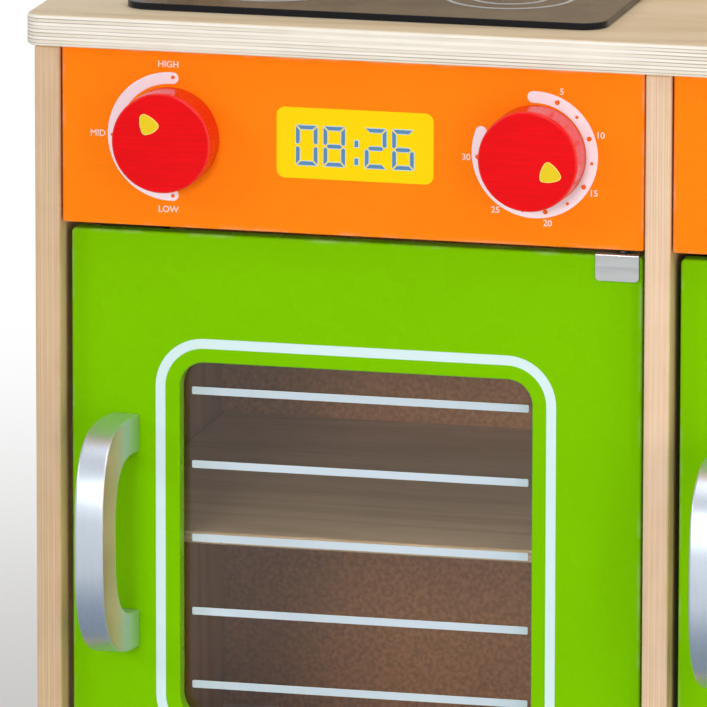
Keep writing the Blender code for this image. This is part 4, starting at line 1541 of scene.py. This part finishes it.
@dataclass
class ControlKnob:
    """A turned, painted knob with a printed pointer."""

    node: str
    body: Body
    pointer: tuple[Point, Point, Point]
    rim: float = 0.0012
    foot_chamfer: float = 0.0008
    crown: float = 0.0003
    pointer_rounding: float = 0.0017
    pointer_bulge: float = 0.0004
    pointer_edge: float = 0.0004
    pointer_thickness: float = 0.00012

    def build(self) -> None:
        """Build the knob and its pointer."""
        low, high = box_of(self.node)
        radius = (high.x - low.x) / 2
        depth = high.y - low.y
        middle = middle_of(self.node)
        flat = radius - self.rim
        chamfer = self.foot_chamfer
        profile = [(0, 0), (radius - chamfer, 0), (radius, chamfer)]
        profile += arc_points((flat, depth - self.crown - self.rim), self.rim, 90, 0, 6)
        profile += [(flat * share, depth - self.crown * share ** 2) for share in (0.75, 0.5, 0.25)]
        knob = Bench.turned(self.node + "_turned", profile + [(0, depth)],
                            Vector((middle.x, high.y, middle.z)), 96, Vector((0, -1, 0)))
        settle(knob, Palette.KNOB_RED, self.body, [self.node])
        front = Vector((middle.x, low.y, middle.z))
        centre = sum((Vector(tip) for tip in self.pointer), Vector((0, 0))) / len(self.pointer)
        for layer, grow, finish, name in (
                (0, self.pointer_edge, Palette.PALE_YELLOW_INK, "_pointer_edge"),
                (1, 0.0, Palette.MUSTARD_INK, "_pointer")):
            tips = []
            for tip in self.pointer:
                outward = (Vector(tip) - centre).normalized() * grow
                tips.append(tuple(Vector(tip) + outward))
            outline = rounded_polygon(tips, self.pointer_rounding + grow, self.pointer_bulge)
            lift = Vector((0, self.crown * 0.2 - layer * INK, 0))
            piece = Bench.print_on(self.node + name, outline, front + lift,
                                   thickness=self.pointer_thickness)
            settle(piece, finish, self.body)


@dataclass
class Door:
    """A painted door with its handle and pivot clips; the oven's also has a window."""

    bay: str
    body: Body
    nodes: dict[str, Piece]
    windowed: bool = False
    arris: float = 0.0011
    corner: float = 0.0022
    window_width: float = 0.1695
    window_height: float = 0.1726
    window_corner: float = 0.012
    stripe_from_window: float = 0.0116
    stripe_width: float = 0.0047
    bar_thickness: float = 0.0037
    bar_pitch: float = 0.03547
    bar_margin: float = 0.0036
    bars: int = 5
    handle_length: float = 0.1125
    grip_depth: float = 0.0233
    foot_height: float = 0.0181
    bluntness: float = 3.2
    lean: float = 0.1
    handle_rounding: float = 0.0012
    bar_corner: float = 0.0006
    clip_thickness: float = 0.001
    clip_corner: float = 0.002
    clip_gap: float = 0.0003
    burr: float = 0.0002
    pin_radius: float = 0.0020
    pin_tip: float = 0.0014
    pin_chamfer: float = 0.0006
    pin_collar: float = 0.0030
    collar_height: float = 0.0006
    collar_slope: float = 0.0003

    def build(self) -> None:
        """Build every piece of the door."""
        self.low, self.high = box_of(self.bay + "_door_panel")
        self.middle = (self.low + self.high) / 2
        self.add_panel()
        self.add_handle()
        for end, upward in (("upper", 1), ("lower", -1)):
            self.add_clip(end, upward)
        if self.windowed:
            self.add_stripe()
            self.add_bars()
            dress(self.nodes, self.bay + "_door_pane", Palette.PANE)

    def add_panel(self) -> None:
        """Painted board with softly rounded edges, also round its window."""
        node = self.bay + "_door_panel"
        piece = Bench.block(node + "_painted", self.low, self.high)
        if self.windowed:
            reach = Vector((self.window_width / 2, self.high.y - self.low.y,
                            self.window_height / 2))
            tool = Bench.block("window_tool", self.middle - reach, self.middle + reach)
            Bench.round_edges(tool, runs_along(Axis.Y), self.window_corner, 10)
            Bench.cut(piece, tool)
        half = (self.high.x - self.low.x) / 2 - self.corner
        runs_through = runs_along(Axis.Y)
        Bench.round_edges(piece, lambda first, second: runs_through(first, second)
                          and abs(first.x - self.middle.x) > half, self.corner, 5)
        Bench.round_edges(piece, every_edge, self.arris)
        Bench.smooth(piece)
        colour, deep = Palette.GREEN
        finish = Lacquer("green_paint_" + self.bay, colour, deep, low=tuple(self.low),
                         high=tuple(self.high))
        settle(piece, finish, self.body, [node])

    def bow(self, length: float, reach: float, steps: int = 40) -> Outline:
        """Side view of a bow as a half superellipse that rises a little towards its front.

        Args:
            length: Its length from foot to foot.
            reach: How far it stands out.
            steps: How many straight steps it has.

        Returns:
            Points of (depth, height) from the upper foot to the lower one.
        """
        points = []
        for step in range(steps + 1):
            angle = math.pi * step / steps
            across = math.copysign(abs(math.cos(angle)) ** (2 / self.bluntness), math.cos(angle))
            depth = reach * math.sin(angle) ** (2 / self.bluntness)
            points.append((depth, length / 2 * across + self.lean * depth))
        return points

    def add_handle(self) -> None:
        """Bow handle: its side view extruded across, with every long edge rounded."""
        node = self.bay + "_handle"
        low, high = box_of(node)
        reach = high.y - low.y
        length = self.handle_length
        outer = self.bow(length, reach)
        inner = self.bow(length - 2 * self.foot_height, reach - self.grip_depth)
        piece = Bench.sheet(node + "_bow", outer + inner[::-1], high.x - low.x)
        place = Vector((low.x, high.y, low.z + length / 2))
        stand = Matrix(((0, 0, 1, 0), (-1, 0, 0, 0), (0, 1, 0, 0), (0, 0, 0, 1)))
        Bench.put(piece, Matrix.Translation(place) @ stand)
        with Bench.editing(piece, "FACE"):
            Bench.face_outwards()

        def runs_round(first: Vector, second: Vector) -> bool:
            """Whether an edge runs round the bow's side, clear of the door."""
            clear = min(first.y, second.y) < high.y - SAME_PLACE
            return clear and abs(first.x - second.x) < SAME_PLACE
        Bench.round_edges(piece, runs_round, self.handle_rounding, 4, 60.0)
        Bench.smooth(piece, 40.0)
        # The bow's sides get a warm painted reflection over the middle of their depth.
        span = (low.y + reach * 0.7, low.y + reach * 0.3)
        finish = Drawn("bow_silver", tone(214, 223, 233), tone(195, 205, 218), Axis.Z,
                       metallic=0.88, gloss=0.3, share=0.4, side_reflection=tone(255, 217, 182),
                       side_reflection_span=span)
        settle(piece, finish, self.body, [node])

    def add_clip(self, end: str, upward: int) -> None:
        """Folded metal clip over a corner of the door, with its pivot pin.

        Args:
            end: Whether it is the upper or the lower one.
            upward: 1 for the upper clip, -1 for the lower one.
        """
        node = self.bay + "_" + end + "_clip"
        low, high = box_of(node)
        edge = self.high.z if upward > 0 else self.low.z
        back = edge + upward * (self.clip_thickness + self.clip_gap)
        mouth = low.z if upward > 0 else high.z
        inset = self.clip_thickness / 2
        fold = back - upward * inset
        corners = [Vector((low.x, low.y + inset, min(mouth, fold))),
                   Vector((high.x, high.y - inset, max(mouth, fold)))]
        piece = Bench.block(node + "_folded", *corners)
        with Bench.editing(piece, "FACE"):
            Bench.pick_faces(piece, lambda middle, normal: normal.z * upward < -0.5
                             or abs(normal.x) > 0.5)
            bpy.ops.mesh.delete(type="FACE")
        with Bench.editing(piece, "VERT"):
            mesh = bmesh.from_edit_mesh(piece.data)
            for vertex in mesh.verts:
                vertex.select_set(abs(vertex.co.z - mouth) < SAME_PLACE)
            bmesh.update_edit_mesh(piece.data)
            bpy.ops.mesh.bevel(offset=self.clip_corner, segments=5, affect="VERTICES")
        runs_across = runs_along(Axis.X)
        Bench.round_edges(piece, lambda first, second: runs_across(first, second)
                          and abs(first.z - fold) < SAME_PLACE, self.clip_thickness * 0.9, 4)
        Bench.modify(piece, "sheet_metal", "SOLIDIFY", thickness=self.clip_thickness, offset=0.0)
        Bench.modify(piece, "burr", "BEVEL", width=self.burr, segments=2)
        with Bench.editing(piece, "FACE"):
            Bench.face_outwards()
        length = abs((high.z if upward > 0 else low.z) - back)
        pivot = middle_of(self.bay + "_upper_bush")
        pin = [(0, 0), (self.pin_collar, 0), (self.pin_collar, self.collar_height),
               (self.pin_radius, self.collar_height + self.collar_slope),
               (self.pin_radius, length - self.pin_chamfer), (self.pin_tip, length), (0, length)]
        turned = Bench.turned(node + "_pin", pin, Vector((pivot.x, pivot.y, back)), 32,
                              UP * upward)
        settle(turned, Palette.DARK_STEEL, self.body)
        Bench.smooth(piece)
        settle(piece, Palette.NICKEL, self.body, [node])

    def add_stripe(self) -> None:
        """White line printed round the window."""
        outlines = [rounded_rectangle(self.window_width + 2 * grow, self.window_height + 2 * grow,
                                      self.window_corner + grow, 12)
                    for grow in (self.stripe_from_window,
                                 self.stripe_from_window - self.stripe_width)]
        place = Vector((self.middle.x, self.low.y, self.middle.z))
        piece = Bench.ring_on("window_stripe", *outlines, place)
        settle(piece, Palette.WHITE_INK, self.body)

    def add_bars(self) -> None:
        """Pale bars printed on the pane, like an oven's racks."""
        pane_front = box_of(self.bay + "_door_pane")[0].y
        width = self.window_width - 2 * self.bar_margin
        outline = rounded_rectangle(width, self.bar_thickness, self.bar_corner, 3)
        bars = []
        for step in range(self.bars):
            up = ((self.bars - 1) / 2 - step) * self.bar_pitch
            place = Vector((self.middle.x, pane_front, self.middle.z + up))
            bars.append(Bench.print_on("bar", outline, place))
        settle(Bench.join("window_bars", bars), Palette.BAR_INK, self.body)


@dataclass
class Worktop:
    """The worktop board, the hob printed on its plate, and the shelf unit behind them."""

    nodes: dict[str, Piece]
    corner: float = 0.008
    arris: float = 0.0016
    bowl_ledge: float = 0.006
    hob_corner: float = 0.012
    hob_arris: float = 0.0008
    ring_width: float = 0.0022
    large_ring: float = 0.040
    small_ring: float = 0.031

    def build(self) -> None:
        """Build the worktop, hob and shelf unit."""
        self.add_board("worktop", bowl_hole=True)
        self.add_board("upper_shelf")
        for name, grain in (("cheek_left", Axis.Z), ("cheek_right", Axis.Z),
                            ("splashback", Axis.X)):
            dress(self.nodes, name, plywood(name, grain))
        self.add_hob()

    def add_board(self, node: str, bowl_hole: bool = False) -> None:
        """Round-cornered plywood board with soft edges.

        Args:
            node: The frame node that it stands for.
            bowl_hole: Whether the sink bowl hangs in it.
        """
        low, high = box_of(node)
        piece = Bench.block(node + "_board", low, high)
        Bench.round_edges(piece, runs_along(Axis.Z), self.corner, 10)
        if bowl_hole:
            bowl_low, bowl_high = box_of("sink_bowl")
            radius = (bowl_high.x - bowl_low.x) / 2 - self.bowl_ledge
            bpy.ops.mesh.primitive_cylinder_add(vertices=96, radius=radius, depth=0.1,
                                                location=middle_of("sink_bowl"))
            Bench.cut(piece, Bench.fresh("bowl_tool"))
        Bench.round_edges(piece, every_edge, self.arris)
        Bench.smooth(piece)
        finish = plywood(node, Axis.X, edge_pale=tone(240, 236, 226),
                         edge_deep=tone(216, 207, 190), glue=tone(112, 92, 74), lines=0.9)
        settle(piece, finish, Body.CARCASS, [node])

    def add_hob(self) -> None:
        """Black plate with four printed rings and their inner marks."""
        low, high = box_of("hob_plate")
        plate = Bench.block("hob_plate_painted", low, high)
        Bench.round_edges(plate, runs_along(Axis.Z), self.hob_corner, 8)
        Bench.round_edges(plate, lambda first, second: max(first.z, second.z)
                          > high.z - SAME_PLACE, self.hob_arris)
        Bench.smooth(plate)
        settle(plate, Palette.BLACK, Body.CARCASS, ["hob_plate"])
        middle = (low + high) / 2
        step = Vector(((high.x - low.x) / 4, (high.y - low.y) / 4, 0))
        rings = []
        for across in (-1, 1):
            for along in (-1, 1):
                radius = self.large_ring if across == along else self.small_ring
                place = Vector((middle.x + across * step.x, middle.y + along * step.y, high.z))
                for share in (1.0, 0.62, 0.24):
                    rings.append(Bench.ring_on(
                        "ring", circle(radius * share, 48),
                        circle(radius * share - self.ring_width, 48), place, Facing.TOP))
        settle(Bench.join("hob_rings", rings), Palette.SILVER_INK, Body.CARCASS)


@dataclass
class Sink:
    """The steel bowl with its drain, and the swivelling tap between two turning knobs."""

    wall: float = 0.0016
    bend: float = 0.020
    rim_width: float = 0.010
    rim_bend: float = 0.0022
    drain: tuple[Point, ...] = (
        (0, 0), (0.019, 0), (0.019, 0.0008), (0.017, 0.0014), (0.014, 0.0006), (0.004, 0.0006),
        (0.003, 0.0022), (0, 0.0024))
    base_bore: float = 0.0051
    base_foot: float = 0.004
    base_step: float = 0.005
    base_rounding: float = 0.001
    base_shoulder: float = 0.0015
    spout_radius: float = 0.0075
    spout_wall: float = 0.0016
    spout_gap: float = 0.0003
    spout_rounding: float = 0.0005
    bend_radius: float = 0.033
    outlet_length: float = 0.018
    outlet_depth: float = 0.006
    collar: tuple[Point, ...] = (
        (0, 0), (0.0098, 0), (0.0105, 0.0008), (0.0105, 0.004), (0.0090, 0.0052), (0, 0.0052))
    plug_radius: float = 0.005
    plug_chamfer: float = 0.0006
    knob_stem: tuple[Point, ...] = ((0, 0), (0.0036, 0), (0.004, 0.0005))
    knob_waist: tuple[Point, ...] = (
        (0.004, 0.0005), (0.0066, 0.0005), (0.007, 0.001), (0.0066, 0.003), (0.007, 0.0062))
    head_level: float = 0.0068
    head_rounding: float = 0.003
    spot_radius: float = 0.0042

    def build(self) -> None:
        """Build the bowl, the drain and the tap."""
        self.add_bowl()
        self.add_tap_base()
        self.add_spout()
        self.add_tap_knob("left", Body.LEFT_TAP, Palette.RED)
        self.add_tap_knob("right", Body.RIGHT_TAP, Palette.BLUE)

    def add_bowl(self) -> None:
        """Bowl turned from one sheet, with a rolled rim, and its drain ring."""
        low, high = box_of("sink_bowl")
        outer = (high.x - low.x) / 2
        radius = outer - self.rim_width
        depth = high.z - low.z
        wall = self.wall
        bend_middle = (radius - self.bend, self.bend)
        profile = [(0, 0)] + arc_points(bend_middle, self.bend, 180, 90, 10)
        profile += [(radius, depth - wall), (outer - wall / 2, depth - wall)]
        profile += arc_points((outer - wall / 2, depth - wall / 2), wall / 2, 180, 0, 6)
        profile += arc_points((radius + self.rim_bend - wall, depth - self.rim_bend),
                              self.rim_bend, 0, -90, 5)
        profile += arc_points(bend_middle, self.bend - wall, 90, 180, 10) + [(0, wall)]
        place = foot_of("sink_bowl")
        bowl = Bench.turned("sink_bowl_pressed", profile, place, 96)
        settle(bowl, Palette.STEEL, Body.CARCASS, ["sink_bowl"])
        drain = Bench.turned("sink_drain", self.drain, place + UP * wall, 48)
        settle(drain, Palette.NICKEL, Body.CARCASS)

    def add_tap_base(self) -> None:
        """Turned base with a step and a rounded shoulder."""
        low, high = box_of("tap_base")
        radius = (high.x - low.x) / 2
        depth = high.z - low.z
        neck = radius - self.base_step
        foot, rounding, shoulder = self.base_foot, self.base_rounding, self.base_shoulder
        profile = [(self.base_bore, 0), (radius, 0), (radius, foot)]
        profile += arc_points((radius - rounding, foot), rounding, 90, 0, 4)[1:]
        profile += [(neck + rounding, foot + 1.5 * rounding), (neck, foot + 2.5 * rounding),
                    (neck, depth - shoulder)]
        profile += arc_points((neck - shoulder, depth - shoulder), shoulder, 90, 0, 4)[1:]
        profile += [(self.base_bore, depth)]
        piece = Bench.turned("tap_base_turned", profile, foot_of("tap_base"))
        settle(piece, Palette.SILVER, Body.CARCASS, ["tap_base"])

    def add_spout(self) -> None:
        """Swan neck: a round section extruded up, spun over the bend and extruded down."""
        low, high = box_of("tap_spout")
        x = (low.x + high.x) / 2
        y = high.y - self.spout_radius
        foot = box_of("tap_base")[1].z + self.spout_gap
        top = high.z - self.spout_radius - self.bend_radius
        bpy.ops.mesh.primitive_circle_add(vertices=32, radius=self.spout_radius,
                                          fill_type="NGON", location=(x, y, foot))
        neck = Bench.fresh("tap_spout_bent")
        with Bench.editing(neck, "FACE"):
            bpy.ops.mesh.select_all(action="SELECT")
            Bench.extrude(top - foot)
            bpy.ops.mesh.spin(steps=24, angle=math.pi, center=(x, y - self.bend_radius, top),
                              axis=(-1, 0, 0))
            Bench.extrude(-self.outlet_length)
            bpy.ops.mesh.inset(thickness=self.spout_wall)
            Bench.extrude(self.outlet_depth)
            bpy.ops.mesh.select_all(action="SELECT")
            bpy.ops.mesh.remove_doubles(threshold=0.00001)
            Bench.face_outwards()
        Bench.round_edges(neck, every_edge, self.spout_rounding, 2)
        Bench.smooth(neck)
        collar = Bench.turned("tap_spout_collar", self.collar, Vector((x, y, foot)), 48)
        length = foot - low.z
        profile = [(0, 0), (self.plug_radius - self.plug_chamfer, 0),
                   (self.plug_radius, self.plug_chamfer), (self.plug_radius, length), (0, length)]
        plug = Bench.turned("tap_spout_plug", profile, Vector((x, y, low.z)), 32)
        piece = Bench.join("tap_spout_bent", [neck, collar, plug])
        settle(piece, Palette.SILVER, Body.SPOUT, ["tap_spout"])

    def add_tap_knob(self, hand: str, body: Body, finish: Finish) -> None:
        """Turned wooden knob with a waist, a crowned head and a spot on top.

        Args:
            hand: Left or right.
            body: The body that it rides on.
            finish: Its paint.
        """
        node = "tap_knob_" + hand
        low, high = box_of(node)
        foot = box_of("worktop")[1].z - low.z
        height = high.z - low.z
        head = (high.x - low.x) / 2
        rounding = self.head_rounding
        profile = list(self.knob_stem)
        profile += [(across, foot + up) for across, up in self.knob_waist]
        profile += arc_points((head - rounding, foot + self.head_level + rounding), rounding,
                              180, 90, 5)
        profile += arc_points((head - rounding, height - rounding), rounding, 90, 0, 6)
        profile += [(head * 0.4, height), (0, height)]
        knob = Bench.turned(node + "_turned", profile, foot_of(node))
        settle(knob, finish, body, [node])
        place = foot_of(node) + UP * (height - INK / 2)
        spot = Bench.print_on(node + "_spot", circle(self.spot_radius, 32), place, Facing.TOP)
        settle(spot, Palette.WHITE_INK, body)


@dataclass
class Studio:
    """The pale floor, the soft lamps, the white surroundings and the camera."""

    target: Corner = (-0.14435, -0.12445, 0.30621)
    distance: float = 5.1413
    yaw: float = 13.997
    pitch: float = 12.276
    roll: float = 0.096
    lens: float = 562.4
    sensor: float = 36.0
    floor_size: float = 12.0
    fade_start: float = 0.45
    fade_end: float = 1.5
    # Bluish grey that the floor shows near the object in reflections only: a painted reflection
    # that darkens what shiny pieces mirror of it.
    painted_reflection_tone: Colour = tone(130, 148, 172)
    painted_reflection_start: float = 1.05
    painted_reflection_end: float = 0.55
    light: float = 0.31
    shine: float = 0.3
    lamps_aim: Corner = (0.0, 0.0, 0.35)

    def build(self) -> None:
        """Set up everything round the object."""
        self.add_floor()
        self.add_lamp("front", (-0.22, -3.2, 0.95), size=0.6, power=32.0)
        self.add_lamp("left", (-2.2, -1.6, 1.5), size=0.7, power=13.0)
        self.add_lamp("right", (2.0, -1.0, 0.5), size=0.9, power=7.0, colour=tone(255, 208, 164))
        self.add_lamp("spark", (1.6, -0.8, 2.0), size=0.35, power=6.0)
        self.add_lamp("edge", (0.66, -0.86, 0.46), size=0.12, power=1.5, height=0.88)
        self.add_lamp("top", (0.2, -0.4, 2.4), size=1.6, power=12.0)
        self.add_lamp("back", (0.3, 2.3, 1.6), size=1.5, power=16.0)
        self.set_world()
        self.add_camera()
        bpy.context.scene.view_settings.view_transform = "Standard"

    @staticmethod
    def seen(graph: Graph, path: Sockets) -> Socket:
        """Whether the camera looks at something, also through the pane."""
        return graph.math("MAXIMUM", path["Is Camera Ray"], path["Is Transmission Ray"])

    def glow(self, graph: Graph) -> Socket:
        """Strength of the white surroundings: full where seen, less in shines and as light.

        Args:
            graph: The tree of the world or the floor.

        Returns:
            The strength's socket.
        """
        path = graph.add("LightPath").outputs
        shine = graph.math("MULTIPLY_ADD", path["Is Glossy Ray"], self.shine, self.light)
        return graph.math("MAXIMUM", self.seen(graph, path), shine)

    def add_floor(self) -> None:
        """Plain pale floor that keeps its shadows near the object and fades to white, with a
        bluish grey painted reflection near the object.
        """
        bpy.ops.mesh.primitive_plane_add(size=self.floor_size)
        floor = Bench.fresh("studio_floor")
        made = bpy.data.materials.new("studio_floor")
        made.use_nodes = True
        graph = Graph(made.node_tree)
        shader = made.node_tree.nodes["Principled BSDF"]
        place = graph.own_place()
        cloud = graph.math("MULTIPLY", graph.noise(place, scale=3.0, detail=2.0), 0.3)
        pale = graph.blend(cloud, tone(236, 236, 235), tone(230, 230, 229))
        away = graph.math("SQRT", graph.vector("DOT_PRODUCT", place, place))
        path = graph.add("LightPath").outputs
        # Painted reflection: near the object, reflections of the floor turn bluish grey.
        near = graph.spread(away, self.painted_reflection_start, self.painted_reflection_end)
        near = graph.math("MULTIPLY", near, path["Is Glossy Ray"])
        graph.fill(shader, {"Base Color": graph.blend(near, pale, self.painted_reflection_tone), "Roughness": 0.6})
        seen = graph.math("MAXIMUM", self.seen(graph, path), path["Is Glossy Ray"])
        share = graph.math("MULTIPLY", graph.spread(away, self.fade_start, self.fade_end), seen)
        white = graph.add("Emission", {"Strength": self.glow(graph)})
        both = graph.add("MixShader", {0: share, 1: shader.outputs[0], 2: white.outputs[0]})
        graph.feed(made.node_tree.nodes["Material Output"].inputs["Surface"], both.outputs[0])
        floor.data.materials.append(made)

    def add_lamp(self, name: str, place: Corner, size: float, power: float,
                 colour: Colour = WHITE, height: float | None = None) -> None:
        """Soft lamp that points at the middle of the object and is not seen itself.

        Args:
            name: The lamp's name.
            place: Where it hangs.
            size: How wide it is.
            power: Its power in watts.
            colour: The colour of its light.
            height: How tall it is, where it isn't square.
        """
        light = bpy.data.lights.new(name, "AREA")
        light.shape = "RECTANGLE"
        light.size = size
        light.size_y = height or size
        light.energy = power
        light.color = colour[:3]
        lamp = bpy.data.objects.new(name, light)
        lamp.location = place
        lamp.visible_camera = False
        aim = Vector(self.lamps_aim) - Vector(place)
        lamp.rotation_euler = aim.to_track_quat("-Z", "Y").to_euler()
        bpy.context.scene.collection.objects.link(lamp)

    def set_world(self) -> None:
        """Soft grey light all round that the camera sees as white."""
        world = bpy.data.worlds.new("studio")
        world.use_nodes = True
        graph = Graph(world.node_tree)
        graph.fill(world.node_tree.nodes["Background"],
                   {"Strength": self.glow(graph), "Color": WHITE})
        bpy.context.scene.world = world

    def add_camera(self) -> None:
        """Camera at the photograph's angle, turned by yaw, pitch and roll about its target."""
        data = bpy.data.cameras.new("camera")
        data.lens = self.lens
        data.sensor_width = self.sensor
        data.clip_end = 100.0
        camera = bpy.data.objects.new("camera", data)
        turn = (Matrix.Rotation(math.radians(self.yaw), 3, "Z")
                @ Matrix.Rotation(math.radians(90 - self.pitch), 3, "X")
                @ Matrix.Rotation(math.radians(self.roll), 3, "Z"))
        camera.location = Vector(self.target) + turn @ (UP * self.distance)
        camera.rotation_euler = turn.to_euler()
        bpy.context.scene.collection.objects.link(camera)
        bpy.context.scene.camera = camera


def main() -> None:
    """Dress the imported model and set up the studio."""
    logging.basicConfig(level=logging.INFO, format="%(message)s")
    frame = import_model()
    nodes = frame["nodes"]
    Carcass(nodes).build()
    ControlPanel().build()
    heat_pointer = ((-0.0087, 0.0131), (-0.0011, 0.0083), (-0.0078, 0.0044))
    timer_pointer = ((0.0156, -0.0066), (0.0067, -0.0081), (0.0095, 0.0001))
    ControlKnob("heat_knob", Body.HEAT_CONTROL, heat_pointer).build()
    ControlKnob("timer_knob", Body.TIMER_CONTROL, timer_pointer).build()
    Door("oven", Body.OVEN_DOOR, nodes, windowed=True).build()
    Door("cupboard", Body.CUPBOARD_DOOR, nodes).build()
    Worktop(nodes).build()
    Sink().build()
    Studio().build()


if __name__ == "__main__":
    main()
